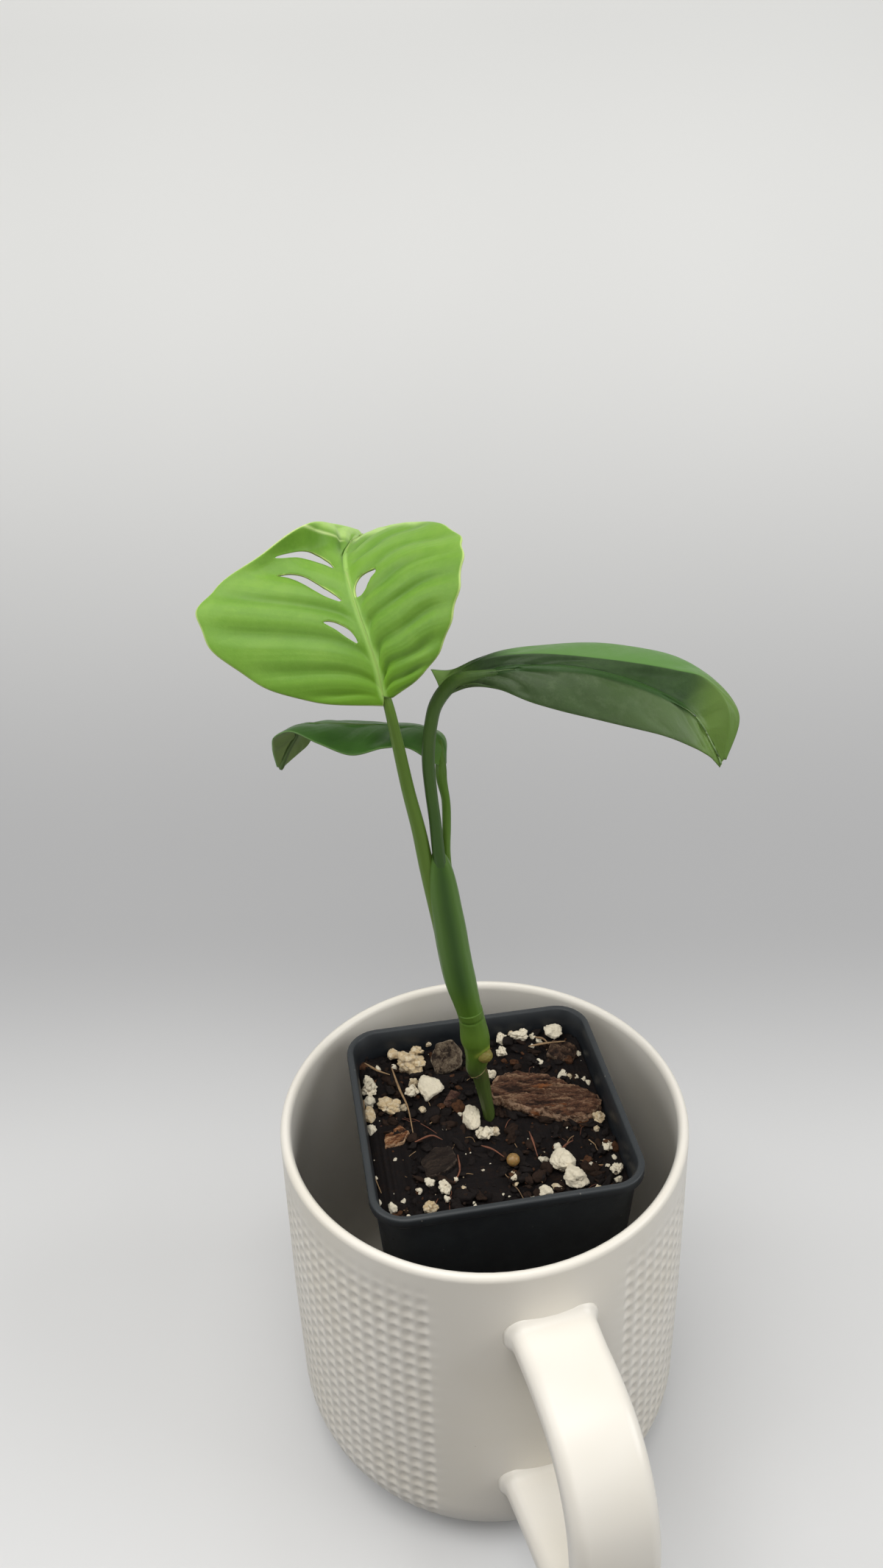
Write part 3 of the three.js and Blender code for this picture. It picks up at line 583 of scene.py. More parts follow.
def add_pot():
    plastic = Look("black_plastic", (28, 31, 35), 0.42, Specular_IOR_Level=0.35)
    plastic.patches((9, 5, 0.7), 0.42, 0.72, 0.45, (43, 48, 51))
    # Painted highlight: lighter along the top of the lip, by the edge values its rings carry.
    plastic.tint("edge", 0, 1, 0, 0.5, (58, 62, 64))
    dust = plastic.dots(3.1, 0.03, 0.07, 0.8, (plastic.noise(11, 2), 0.5, 0.6))
    plastic.mix(dust, (120, 116, 108))
    plastic.roughen(plastic.noise(5, 4), 0.33, 0.55)
    plastic.bump(plastic.noise(0.5, 3), 0.02)

    p = POT
    side, corner, top = p["side"], p["corner"], p["top"]
    lip, worn, lip_bottom = p["lip"], p["lip_round"], top - p["lip_height"]
    rings, edges = [], []

    def ring(side, corner, z, edge=0.0):
        rings.append(in_pot(rounded_square(side, corner, z)))
        edges.append(edge)

    for z in (p["bottom"], *p["outer_levels"], lip_bottom - 0.4, lip_bottom):
        ring(*pot_at(z), z)
    ring(side - worn, corner - worn / 2, lip_bottom + 0.15)
    ring(side, corner, lip_bottom + worn)
    # These rings carry the painted highlight along the lip's top.
    ring(side, corner, top - worn, 0.3)
    ring(side - 0.15, corner - 0.08, top - 0.2, 0.8)
    ring(side - worn, corner - worn / 2, top, 1.0)
    ring(side - 2 * lip + worn, corner - lip + worn / 2, top, 1.0)
    ring(side - 2 * lip, corner - lip, top - 0.3, 0.6)
    for z in (lip_bottom - p["wall"], *p["inner_levels"], p["bottom"] + p["floor"]):
        outer_side, outer_corner = pot_at(z)
        ring(outer_side - 2 * p["wall"], outer_corner - p["wall"], z)
    count = len(rings[0])
    add_piece("square_pot", np.vstack(rings), flat_ended(len(rings), count), [plastic],
              ["nursery_pot"], measures={"edge": np.repeat(edges, count)})


# Potting mix and what lies on it

def ground_at(y):
    return SOIL["level"] + SOIL["back_rise"] * (y - POT["y"])


def rough(place, size, octaves):
    """Fractal noise whose largest features measure about size."""
    return noise.fractal(Vector(place) / size, 1.0, 2.0, octaves)


def soil_height(x, y):
    """Level of the crumbly mix at a place seen from the front."""
    hills = 1.1 * rough((x, y, 3.1), 9, 2)
    clods = abs(rough((x, y, 7.7), 3.2, 3))
    crumbs = 0.42 * rough((x, y, 12.5), 0.9, 3)
    return ground_at(y) - 0.5 + hills + clods + crumbs


def soil_look():
    soil = Look("potting_mix", (30, 27, 27), 0.95, Specular_IOR_Level=0.08)
    soil.patches((1.4, 6, 0.75), 0.48, 0.7, 1, (40, 31, 27))
    soil.patches((0.5, 4, 0.7), 0.55, 0.75, 0.8, (22, 17, 15))
    soil.patches((6, 4, 0.7), 0.6, 0.74, 0.6, (58, 43, 34))
    soil.bump(soil.noise(0.35, 5, 0.75), 0.35)
    soil.roughen(soil.noise(2.5, 3), 0.72, 1)
    return soil


def mix_ring(level, play, share=1):
    """A ring of the mix at a level, clear of the pot's wall by half the play and drawn in by a share."""
    side, corner = pot_at(level)
    side, corner = (side - 2 * POT["wall"] - play) * share, (corner - POT["wall"]) * share
    return in_pot(rounded_square(side, corner, level, SOIL["corner_steps"]))


def add_soil():
    rings = SOIL["rings"]
    surface = np.vstack([mix_ring(SOIL["level"], SOIL["play"], 1 - i / rings) for i in range(rings)])
    surface[:, 2] = [soil_height(x, y) for x, y, _ in surface]
    bottom = mix_ring(SOIL["bottom"], 0.6)
    points, faces = np.vstack([bottom, surface]), flat_ended(rings + 1, len(bottom))
    add_piece("mix_surface", points, faces, [soil_look()], ["potting_mix"])


# The lumps of perlite lie where the solids' do: x, y, width, length and turn. They and the specks are
# drawn larger by LUMP_GROWTH.
PERLITE = (
    (-12.2, 12.2, 4.6, 5.5, 20), (-2.9, 3.1, 3.6, 4.8, 5), (-18.2, 20.7, 6.2, 4.9, -10),
    (-22.7, 24, 2.3, 2.8, 10), (-27.4, 11.9, 2.8, 3.5, 0), (-26.8, 4.2, 2.4, 3, 15),
    (-22.6, 6.6, 3.8, 3.1, -8), (0.3, -2, 3.1, 3.2, 30), (17.7, 31.3, 3.6, 3.5, 0),
    (4.8, 29.2, 2.4, 2.7, -20), (9.8, 30.1, 4, 2.8, 10), (4.7, 24.4, 2.2, 2.6, 0),
    (17.8, -10.2, 3.8, 4.8, -25), (20.6, -14.8, 4.4, 4, 15), (28.2, -5.6, 2.2, 2.5, 0),
    (27.1, 2.3, 2.2, 2.5, 10), (-8.9, -17.4, 2.6, 2.7, 0), (-11.6, -22.8, 2.6, 2.2, 20),
    (13.7, -18.5, 2.4, 2.2, 40), (30, -12.2, 2.2, 2.4, 0), (-17, 11.3, 2.7, 2.4, 0),
    (-16.4, 24.9, 3.2, 2.4, 8),
)
LUMP_GROWTH = 1.2
# How far a lump is grown into knobs.
FEW_KNOBS, SPECK_KNOBS, MANY_KNOBS = 0.1, 0.25, 0.45
# How a lump breaks: how many flat faces it has, how near its middle they come, how sharp its edges are,
# how far out it reaches, and how wide and deep its pits are.
LUMP = {"planes": 13, "nearest": 0.74, "sharpness": 9, "reach": 1.25, "pit": 0.3, "pit_depth": 0.11}
TAN_LUMPS = (3, 4, 6, 7, 16, 18, 22)
SMOOTH_LUMPS = (1, 2, 4, 6, 9, 13, 14, 19)
# Small crumbs of perlite: x, y and size.
SPECKS = (
    (-28.4, 15.6, 2.2), (-27.2, 8.4, 2.3), (-26.3, 0.2, 2), (-17.1, 14.9, 1.9), (-19.5, 7.4, 1.6),
    (2.6, -0.6, 1.9), (-12.3, -15.7, 1.9), (-6.4, -14.8, 1.1), (-4.8, -16.8, 1.2), (-14.7, -17.5, 1.3),
    (-20.2, -18, 1), (-8.3, -19.9, 1.2), (-20.3, -23, 2.2), (-23.2, -20.8, 1.2), (7.4, 31, 1.3),
    (12.9, 30.6, 1.4), (14.4, 28.6, 1.6), (12.6, 26.8, 0.9), (14.1, 20.7, 1.8), (19.4, 17.2, 2),
    (21.4, 16.8, 1.6), (23, 16.4, 1.2), (24.6, 15.8, 1.5), (25.6, 14.9, 1.2), (24, 24.8, 1.3),
    (25, 22.6, 0.9), (16.1, -16.4, 1.7), (13.5, -8.3, 1.7), (16.9, -5.3, 1.6), (26.4, 0.2, 1.4),
    (24.2, -10, 1), (29.6, -8.2, 1.2), (28, -10.4, 1.1), (30, -14.8, 1.6), (25.6, -17.6, 1.4),
    (6.4, -13, 1.2), (6.8, -14.6, 1.3), (4.1, -18, 0.9), (5.4, -18, 0.9), (7.2, -15.8, 0.8),
    (-19.6, 23.2, 1.1), (-24.2, 27, 1), (-9.3, 26, 1.1), (1.6, 17.6, 2), (-14.6, 7, 1.5),
    (-5.6, 4.8, 1), (-20.4, -8.6, 0.8), (-25.1, -8.5, 0.8), (-0.4, -11.5, 0.7), (-14.4, -10.9, 0.6),
    (-2.1, -21.6, 0.8), (-26, 20, 1.2), (-22, 20, 1.4), (-13.6, 27.6, 1.3), (-18, -20.4, 0.9),
    (-16.6, -24.8, 1.1), (10.8, -20, 1), (-24.6, -14, 0.8),
)
# Chips of bark: their place, thickness, tilt about three axes, height above the mix and outline.
# After those come how deep their faces are torn, their grain, and a look's colours: plain, streak and pale.
BARK = {
    "long_bark": {
        "place": (14.9, 9.4), "thick": 4.2, "tilt": (5, 4, 0), "lift": 1.2,
        "outline": ((-14.6, -0.8), (-12, 3.8), (-7.6, 6.6), (-2, 5.9), (4, 3.8), (9.8, 1.4), (13.6, -0.8),
                    (12.4, -5), (9, -8), (0.4, -6.4), (-8, -4.6), (-11.8, -2.8)),
        "depth": 1.2, "grain": (0.2, 1.1), "colours": ((98, 67, 50), (62, 41, 31), (160, 128, 100)),
    },
    "grey_bark": {
        "place": (-8.8, 21.6), "thick": 2.2, "tilt": (38, -6, 12), "lift": 2.4,
        "outline": ((-3.8, -3.6), (-4.2, 0.6), (-1.6, 3.8), (2.4, 3.6), (4, 0.4), (3, -3.4), (-0.6, -4.2)),
        "depth": 0.35, "grain": (0.8, 0.8), "colours": ((98, 85, 70), (66, 54, 43), (132, 118, 98)),
    },
    "orange_bark": {
        "place": (-20.6, -2.6), "thick": 1.8, "tilt": (6, -8, 25), "lift": 0.5,
        "outline": ((-3.4, -1.6), (-1.8, 2), (2.6, 2.2), (3.6, -0.4), (1.2, -2.2)),
        "depth": 0.7, "grain": (0.3, 1.2), "colours": ((136, 90, 56), (96, 58, 36), (196, 158, 120)),
    },
    "dark_bark": {
        "place": (20, 24.6), "thick": 2.4, "tilt": (10, 6, -15), "lift": 0.7,
        "outline": ((-3.6, -2.4), (-3.2, 2), (0.4, 3.2), (3.6, 1.6), (3.4, -2), (0.2, -3.2)),
        "depth": 0.6, "grain": (0.7, 0.9), "colours": ((72, 52, 40), (48, 35, 28), (112, 90, 70)),
    },
    "flat_bark": {
        "place": (-10.4, -9.4), "thick": 1.8, "tilt": (4, -5, 30), "lift": 0.4,
        "outline": ((-4.4, -2.8), (-3.6, 2.2), (0.6, 3.6), (4.4, 1.8), (3.8, -2.6), (-0.4, -3.8)),
        "depth": 0.4, "grain": (0.3, 1), "colours": ((44, 35, 29), (30, 24, 20), (64, 52, 42)),
    },
    "red_bark": {
        "place": (-7.2, 9.2), "thick": 1.6, "tilt": (8, 10, -20), "lift": 0.4,
        "outline": ((-1.8, -2.2), (-1.6, 2), (1, 2.6), (1.9, 0), (0.8, -2.6)),
        "depth": 0.5, "grain": (0.6, 0.9), "colours": ((70, 46, 38), (50, 32, 27), (96, 70, 56)),
    },
}
# Bark torn across its grain shows blotches in place of streaks.
BLOTCHED_BARK = ("grey_bark", "dark_bark")
BEAD = {"place": (6.6, -9.8), "radius": 1.5, "lift": 1.2}
# Dry fibres and rootlets: points on the mix from end to end, with a height above it.
TAN_FIBRES = (
    ((-28.6, 7.6, 2.2), (-27.6, -1, 1.2), (-25.4, -12, 0.9), (-23, -18.4, 0.7)),
    ((-22.4, 18.2, 2), (-20.2, 11.8, 1.4), (-18, 6, 1.4), (-16.4, -1.8, 0.6)),
    ((-29.2, 19.8, 2.2), (-25.8, 17.6, 1.8), (-22.8, 16.8, 1.2)),
    ((11.6, 25.6, 1.6), (16, 26, 2.2), (20.8, 25.8, 3)),
    ((13.4, 28.8, 1.6), (15.4, 28, 1.8), (16.8, 26.4, 1.4)),
)
ROOTLETS = (
    ((-0.6, -5.6, 1.2), (2, -7, 1.5), (4.6, -8.8, 1)),
    ((10.6, -1.6, 1.2), (11.4, -5.2, 1.6), (12.2, -8.6, 0.9)),
    ((17.6, -7, 1.4), (19.4, -5.4, 1.6), (20.6, -4.2, 1.1)),
    ((-16, -4.2, 1), (-12, -2.6, 1.3), (-9.6, -3.4, 0.8)),
    ((-6, -8, 0.9), (-5.6, -13, 1.2), (-7, -16, 0.7)),
)


def turned_by(points, rx, ry, rz):
    """Points turned about X, then Y, then Z, by degrees."""
    spin = Matrix.Rotation(math.radians(rz), 3, "Z") @ Matrix.Rotation(math.radians(ry), 3, "Y")
    return np.asarray(points) @ np.array(spin @ Matrix.Rotation(math.radians(rx), 3, "X")).T


def perlite_look():
    look = Look("perlite", (240, 231, 208), 0.9, Specular_IOR_Level=0.2)
    look.patches((1.7, 4, 0.65), 0.5, 0.75, 0.6, (206, 194, 168))
    stain = look.between(look.noise(1, 4, 0.7), 0.3, 0.6, 0.3, 1)
    look.mix(look.times(look.measure("stain"), stain), (196, 164, 112))
    # Painted shade: darker grey-brown in the pits and between the knobs.
    look.tint("pit", 0.3, 1, 0, 0.75, (128, 108, 84))
    soil = look.between(look.noise(0.8, 3), 0.3, 0.6, 0.35, 1)
    look.mix(look.times(look.measure("low"), soil), (84, 64, 50))
    look.patches((0.45, 4, 0.7), 0.62, 0.72, 0.45, (150, 134, 110))
    look.bump(look.noise(0.28, 4, 0.7), 0.3)
    return look


def crumbly_lump(level, size, seed, knobs, coarse):
    """A lump of three sizes, broken off along flat faces and grown into knobs, and how deep each point
    lies in a pit or between two knobs, 0 to 1."""
    points, faces = ball(level)
    draw = random.Random(SEED + seed)
    planes = unit(np.array([[draw.gauss(0, 1) for _ in range(3)] for _ in range(LUMP["planes"])]))
    planes /= np.array([draw.uniform(LUMP["nearest"], 1) for _ in planes])[:, None]
    sharp = LUMP["sharpness"]
    flat = 1 / (np.maximum(points @ planes.T, 0.01) ** sharp).sum(axis=1) ** (1 / sharp)
    uneven, pits, apart = [], [], []
    for p in points:
        place = Vector(p) * 1.5 + Vector((seed * 7.3, seed * 3.1, 0))
        uneven.append(coarse * noise.fractal(place, 1.0, 2.0, 3) + 0.06 * noise.noise(place * 5))
        near = noise.voronoi(place * 2.2)[0][0]
        pits.append(max(0.0, 1 - near / LUMP["pit"]))
        apart.append(noise.voronoi(place * 1.2 + Vector((5, 2, 9)))[0][0])
    pits, apart = np.array(pits), np.array(apart)
    radius = np.minimum(flat, LUMP["reach"]) * (1 + np.array(uneven))
    radius = radius - LUMP["pit_depth"] * pits + knobs * (0.42 - apart)
    deep = np.maximum(pits, 2 * knobs * smoothstep(0.45, 0.85, apart))
    return points * radius[:, None] * np.asarray(size) / 2, faces, deep


def add_perlite():
    look = perlite_look()
    for i, (x, y, width, length, turn) in enumerate(PERLITE, 1):
        height = 0.78 * min(width, length) + 0.6
        size = (LUMP_GROWTH * width, LUMP_GROWTH * length, height)
        knobs = FEW_KNOBS if i in SMOOTH_LUMPS else MANY_KNOBS
        points, faces, pits = crumbly_lump(5, size, i, knobs, 0.2)
        points = turned_by(points, 0, 0, turn)
        low = 1 - smoothstep(-0.38 * height, -0.12 * height, points[:, 2])
        points = points + (x, y, ground_at(y) + 0.6 + height * 0.22)
        stain = np.full(len(points), 0.75 if i in TAN_LUMPS else 0.12)
        add_piece(f"lump_{i:02d}", points, faces, [look], [f"perlite_{i:02d}"],
                  measures={"pit": pits, "low": low, "stain": stain})

    draw = random.Random(SEED)
    specks = [(x, y, LUMP_GROWTH * size) for x, y, size in SPECKS]
    for _ in range(TINY_SPECKS["count"]):
        specks.append((*strewn(draw, TINY_SPECKS["reach"]), draw.uniform(*TINY_SPECKS["sizes"])))
    parts, pits, lows, stains = [], [], [], []
    for i, (x, y, size) in enumerate(specks):
        sizes = [size * draw.uniform(0.75, 1.2) for _ in range(3)]
        level = 4 if size > 1.5 else 3 if size > 0.6 else 2
        points, faces, pit = crumbly_lump(level, sizes, 40 + i, SPECK_KNOBS, 0.25)
        points = turned_by(points, draw.uniform(0, 90), draw.uniform(0, 90), draw.uniform(0, 360))
        lows.append(0.8 * (1 - smoothstep(-0.4 * size, -0.1 * size, points[:, 2])))
        points = points + (x, y, soil_height(x, y) + 0.28 * size)
        parts.append((points, faces))
        pits.append(pit)
        stains.append(np.full(len(points), draw.choice((0, 0.05, 0.15, 0.6))))
    points, faces = joined(parts)
    measures = {"pit": np.concatenate(pits), "low": np.concatenate(lows), "stain": np.concatenate(stains)}
    add_piece("perlite_specks", points, faces, [look], measures=measures)


def node_of(name):
    """The node of a chip, bark_long for long_bark."""
    return "bark_" + name.removesuffix("_bark")


def bark_look(name, colour, streak, pale):
    grain = (1, 1, 1) if name in BLOTCHED_BARK else (0.12, 1, 1)
    look = Look(node_of(name), colour, 0.85, Specular_IOR_Level=0.2)
    lines = look.noise(1.5, 6, 0.7, 0.6, look.stretched(grain))
    look.mix(look.between(lines, 0.44, 0.66), streak)
    look.tint("ridge", 0.45, 0.95, 0, 0.75, pale)
    fine = look.noise(0.55, 6, 0.75, 0.8, look.stretched(grain))
    look.mix(look.between(fine, 0.5, 0.57, 0, 0.8), streak)
    look.mix(look.between(fine, 0.44, 0.34, 0, 0.5), pale)
    # Painted shade: near-black in the lows between the ridges.
    look.tint("ridge", 0.46, 0.08, 0, 0.85, (30, 21, 17))
    worn = look.times(look.measure("fringe"), look.between(look.noise(1.2, 4, 0.7), 0.4, 0.6, 0, 0.7))
    look.mix(worn, [c + 26 for c in pale])
    look.patches((3, 4, 0.7), 0.58, 0.7, 0.55, (26, 19, 16))
    look.bump(look.noise(0.4, 4, 0.7, 0, look.stretched(grain)), 0.4)
    if name == "long_bark":
        rust = look.noise(4, 3, 0.6, 0.4, look.stretched((0.3, 1, 1)))
        look.mix(look.between(rust, 0.56, 0.66, 0, 0.75), (142, 84, 44))
    return look


def torn_outline(corners, count):
    """Points at even steps along a polygon, its corners a little worn."""
    looped = np.array(list(corners) + [corners[0]], float)
    run = run_of(looped)
    places = np.linspace(0, run[-1], count, endpoint=False)
    ring = np.stack([np.interp(places, run, looped[:, k]) for k in range(2)], 1)
    return np.mean([np.roll(ring, shift, axis=0) for shift in (-2, -1, 0, 1, 2)], axis=0)


def chip(bark, rounds, around):
    """A chip whose faces are torn into ridges along its grain, 0 to 1 up each ridge, and 1 at its rim."""
    ring = torn_outline(bark["outline"], around)
    half, grain = bark["thick"] / 2, bark["grain"]
    rim = 0.9 + 0.1 * np.sin(np.linspace(0.2, math.pi / 2, 6))
    shares = np.concatenate([np.linspace(0.03, 0.9, rounds), rim])
    tops = half * np.sqrt(np.clip(1 - ((shares - 0.86) / 0.14).clip(0) ** 2, 0.0, 1))
    layers = list(zip(shares, tops))
    layers += [(share, -top) for share, top in layers[-2::-1]]
    points, ridges, fringes = [], [], []
    for share, z in layers:
        for x, y in ring * share:
            along = Vector((x * grain[0], y * grain[1], z * 0.7 + 11 * half))
            coarse = noise.fractal(along * 0.9, 0.9, 2.1, 5)
            fine = noise.ridged_multi_fractal(along * 1.7, 0.8, 2.2, 4, 0.9, 2.0)
            hair = noise.fractal(Vector((along.x * 5, along.y * 5, along.z * 2)), 0.8, 2.2, 3)
            lift = bark["depth"] * (0.85 * coarse + 0.3 * (fine - 1.1) + 0.14 * hair)
            edge = 1 + 0.05 * noise.noise(Vector((x * 0.9, y * 0.9, z))) * share
            points.append((x * edge, y * edge, z + lift * (1 if z >= 0 else -0.5)))
            ridges.append(np.clip(0.5 + 0.6 * coarse + 0.25 * (fine - 1.1) + 0.3 * hair, 0, 1))
            fringes.append(float(share > 0.93))
    faces = [face[::-1] for face in flat_ended(len(layers), around)]
    rx, ry, rz = bark["tilt"]
    x, y = bark["place"]
    points = turned_by(turned_by(points, 0, 0, rz), rx, ry, 0) + (x, y, ground_at(y) + bark["lift"])
    return points, faces, {"ridge": ridges, "fringe": fringes}


def add_bark():
    for name, bark in BARK.items():
        rounds, around = (36, 160) if name == "long_bark" else (18, 84)
        points, faces, measures = chip(bark, rounds, around)
        look = bark_look(name, *bark["colours"])
        add_piece(name, points, faces, [look], [node_of(name)], measures=measures)


def add_bead():
    amber = Look("amber_bead", (146, 114, 64), 0.34, Subsurface_Weight=0.25, Subsurface_Scale=0.8 * MM)
    amber.patches((1.4, 3), 0.45, 0.7, 0.6, (112, 82, 44))
    amber.patches((0.5, 3), 0.6, 0.75, 0.6, (208, 172, 104))
    amber.bump(amber.noise(0.5, 2), 0.05)
    points, faces = ball(5)
    uneven = np.array([1 + 0.03 * rough(p, 0.5, 2) for p in points])
    x, y = BEAD["place"]
    points = points * uneven[:, None] * BEAD["radius"] + (x, y, ground_at(y) + BEAD["lift"])
    add_piece("amber_bead", points, faces, [amber], ["feed_bead"])


def add_crumbs():
    """Loose crumbs and small chips of the mix, in three browns."""
    draw = random.Random(SEED + 1)
    looks = []
    browns = (("crumbs_dark", (34, 30, 29)), ("crumbs_brown", (47, 36, 30)), ("crumbs_rust", (80, 54, 38)))
    for name, colour in browns:
        look = Look(name, colour, 0.95, Specular_IOR_Level=0.08)
        look.patches((0.9, 4, 0.7), 0.45, 0.7, 0.7, (24, 19, 16))
        look.bump(look.noise(0.3, 4, 0.7), 0.15)
        looks.append(look)
    parts, kinds = [], []
    for _ in range(CRUMBS["count"]):
        x, y = strewn(draw, CRUMBS["reach"])
        size = draw.choice(CRUMBS["sizes"]) * draw.uniform(0.8, 1.2)
        points, faces = ball(3 if size > 1.6 else 2)
        apart = Vector((x * 5, y * 5, 0))
        points = np.array([p * (1 + 0.55 * noise.noise(Vector(p) * 1.4 + apart)) for p in points])
        points = points * size / 2 * (draw.uniform(0.9, 1.7), draw.uniform(0.6, 1), draw.uniform(0.35, 0.8))
        points = turned_by(points, draw.uniform(-35, 35), draw.uniform(-35, 35), draw.uniform(0, 360))
        parts.append((points + (x, y, soil_height(x, y) + 0.1 * size), faces))
        kinds += [draw.choice((0, 0, 0, 0, 0, 1, 1, 1, 2))] * len(faces)
    points, faces = joined(parts)
    add_piece("mix_crumbs", points, faces, looks, face_looks=kinds)


def add_fibres():
    draw = random.Random(SEED + 2)
    kinds = (
        ("dry_fibres", Look("dry_fibre", (150, 122, 88), 0.8), (104, 80, 56), TAN_FIBRES, 0.3),
        ("rootlets", Look("rootlet", (122, 74, 52), 0.75), (84, 52, 38), ROOTLETS, 0.24),
    )
    for name, look, dark, lines, radius in kinds:
        look.patches((2, 3), 0.4, 0.7, 0.7, dark)
        parts = []
        for line in lines:
            path = [(x, y, ground_at(y) + rise) for x, y, rise in line]
            parts.append(capped_tube(path, ((0, radius * 0.5), (0.3, radius), (1, radius * 0.35)), 40, 8))
        for _ in range(TINY_FIBRES["count"]):
            x, y = strewn(draw, TINY_FIBRES["reach"])
            way, reach = draw.uniform(0, 2 * math.pi), draw.uniform(*TINY_FIBRES["half_lengths"])
            path = []
            for step in (-1, -0.3, 0.4, 1):
                px = x + reach * step * math.cos(way) + draw.uniform(-0.4, 0.4)
                py = y + reach * step * math.sin(way) + draw.uniform(-0.4, 0.4)
                path.append((px, py, soil_height(px, py) + draw.uniform(0.1, 0.5)))
            thin = radius * draw.uniform(0.25, 0.5)
            parts.append(capped_tube(path, ((0, thin), (1, thin * 0.5)), 16, 6))
        points, faces = joined(parts)
        add_piece(name, points, faces, [look])


# Plant

# A leaf is a sheet between rails that run from base to tip. A place on it is t, the share of the way
# from base to tip, and v, the rail number; the bands between two rails swell by their own bulges.
LEAF_A = {
    "rows": 210, "columns": 132, "midrib": 1, "range": (0.004, 0.982), "furrows": (7.2, 9),
    "slant": (0.33, 0.33), "curve": 0.5, "furrow_depth": 0.72, "rib": 0.3, "rib_width": 1.35, "groove": 0.3,
    "groove_at": -0.8, "groove_from": (0.4, 0.65), "scallop": 0.01, "fold_highlight": 0.79,
    "bulge": (
        ((0, 0), (0.2, 0.9), (0.64, 0.9), (0.77, 0.5), (0.9, 0.35), (1, 0)),
        ((0, 0), (0.2, 0.8), (0.8, 1), (1, 0)),
    ),
    "rails": (
        ((-17.2, 0.5, 199.2), (-31, 0, 200.5), (-42, 1, 204.3), (-50.4, 4, 210.4), (-53.1, 8, 215.4),
         (-50.1, 13, 218.6), (-41.8, 18, 223.3), (-33.1, 23, 227.7), (-29.1, 35, 223.8), (-24.7, 55, 215.4)),
        ((-17.5, 1, 200.7), (-18.5, 3.5, 206.2), (-20.2, 6.5, 210.8), (-22.2, 10.5, 214.9),
         (-23.8, 15, 218.1), (-25, 20.5, 220), (-25.6, 26.5, 220.1), (-25.4, 34, 219.5), (-25.1, 44, 217),
         (-24.5, 56, 214)),
        ((-15.9, 0.6, 200.9), (-10.4, -3, 206.6), (-6.5, -5, 212.3), (-4, -5, 218.8), (-2.4, -3, 224.5),
         (-1.7, 1, 229), (-2.3, 7, 230.2), (-6.5, 15, 230), (-15.3, 31, 224.6), (-23.9, 55, 214.7)),
    ),
}
LEAF_B = {
    "rows": 170, "columns": 84, "midrib": 2, "range": (0.004, 0.985), "furrows": (7, 7, 7),
    "slant": (0.1, 0.1, 0.16), "curve": 0.75, "crease": 1, "furrow_depth": 0.35, "rib": 0.4,
    "rib_width": 1.25, "groove": 0.15, "groove_at": -0.9, "groove_from": (0.06, 0.3), "scallop": 0.004,
    "bulge": (
        ((0, 0), (0.5, 0.5), (1, 0)), ((0, 0), (0.5, -0.2), (1, 0)), ((0, 0), (0.5, 0.7), (1, 0)),
    ),
    "rails": (
        ((-8.7, 5, 204.5), (-5, 5.5, 204), (1.7, 7, 206.1), (10.9, 12, 205.7), (25.7, 14, 205.1),
         (39.6, 13, 202.3), (46.9, 10, 198.3), (50.7, 4, 194), (47.6, -1, 185.6)),
        ((-7.6, 4.5, 202.2), (-4.2, 4.8, 203.4), (1.8, 5.2, 206.2), (10.6, 5.6, 206.9), (24.7, 6, 205.3),
         (38.3, 6, 202.7), (43.8, 5.5, 201.1), (48.1, 3, 196.4), (47.4, -1, 185.4)),
        ((-6.7, 4, 199.6), (-2.6, 4, 202), (3, 4, 203.9), (10.3, 3.5, 205), (23.5, 3, 203.8),
         (36.1, 2, 198.9), (41.1, 1, 195.7), (44.2, 0, 190.9), (47.2, -1, 185.3)),
        ((-6.4, 3.6, 199.2), (-1.3, 3.2, 201.5), (4.1, 1.2, 201.9), (10.8, -1.5, 200.1), (23.5, -3.5, 197.1),
         (35.3, -4, 193.9), (41.5, -3.5, 190.8), (44.8, -2.5, 188.2), (47, -1, 185.1)),
    ),
}
LEAF_C = {
    "rows": 150, "columns": 80, "midrib": 1, "range": (0.004, 0.985), "furrows": (6, 6),
    "slant": (0.14, 0.14), "curve": 0.75, "furrow_depth": 0.35, "rib": 0.15, "rib_width": 0.8, "groove": 0.3,
    "groove_at": 0, "groove_from": (0.06, 0.3), "scallop": 0.006,
    "bulge": (((0, 0), (0.5, 0.9), (1, 0)), ((0, 0), (0.5, 0.7), (1, 0))),
    "rails": (
        ((-6.9, 10, 180), (-9.7, 7.5, 183.2), (-14, 6.5, 186.7), (-18.8, 6, 187), (-25.1, 6, 185.5),
         (-31.8, 7, 187.8), (-37.6, 10.5, 188.7), (-41.7, 14, 185.7), (-42.9, 17, 181.4),
         (-42.8, 20.5, 174.4)),
        ((-6.8, 11, 180.1), (-7.2, 13, 185), (-11.4, 14, 187.2), (-17.8, 14.5, 187.5), (-25.3, 14.5, 187.9),
         (-31.3, 14.5, 188.2), (-36, 15, 187.8), (-37.9, 17, 184.1), (-40.3, 19, 179.5), (-42.6, 21, 173.8)),
        ((-6.5, 12, 179.9), (-6.9, 17, 183.6), (-11.3, 21, 183.7), (-18.4, 23, 183.5), (-26.2, 23, 183.8),
         (-32.4, 22, 184.3), (-34.3, 21.5, 182.8), (-36, 21, 180.1), (-38.8, 21, 177.5),
         (-42.4, 21.4, 174.1)),
    ),
}
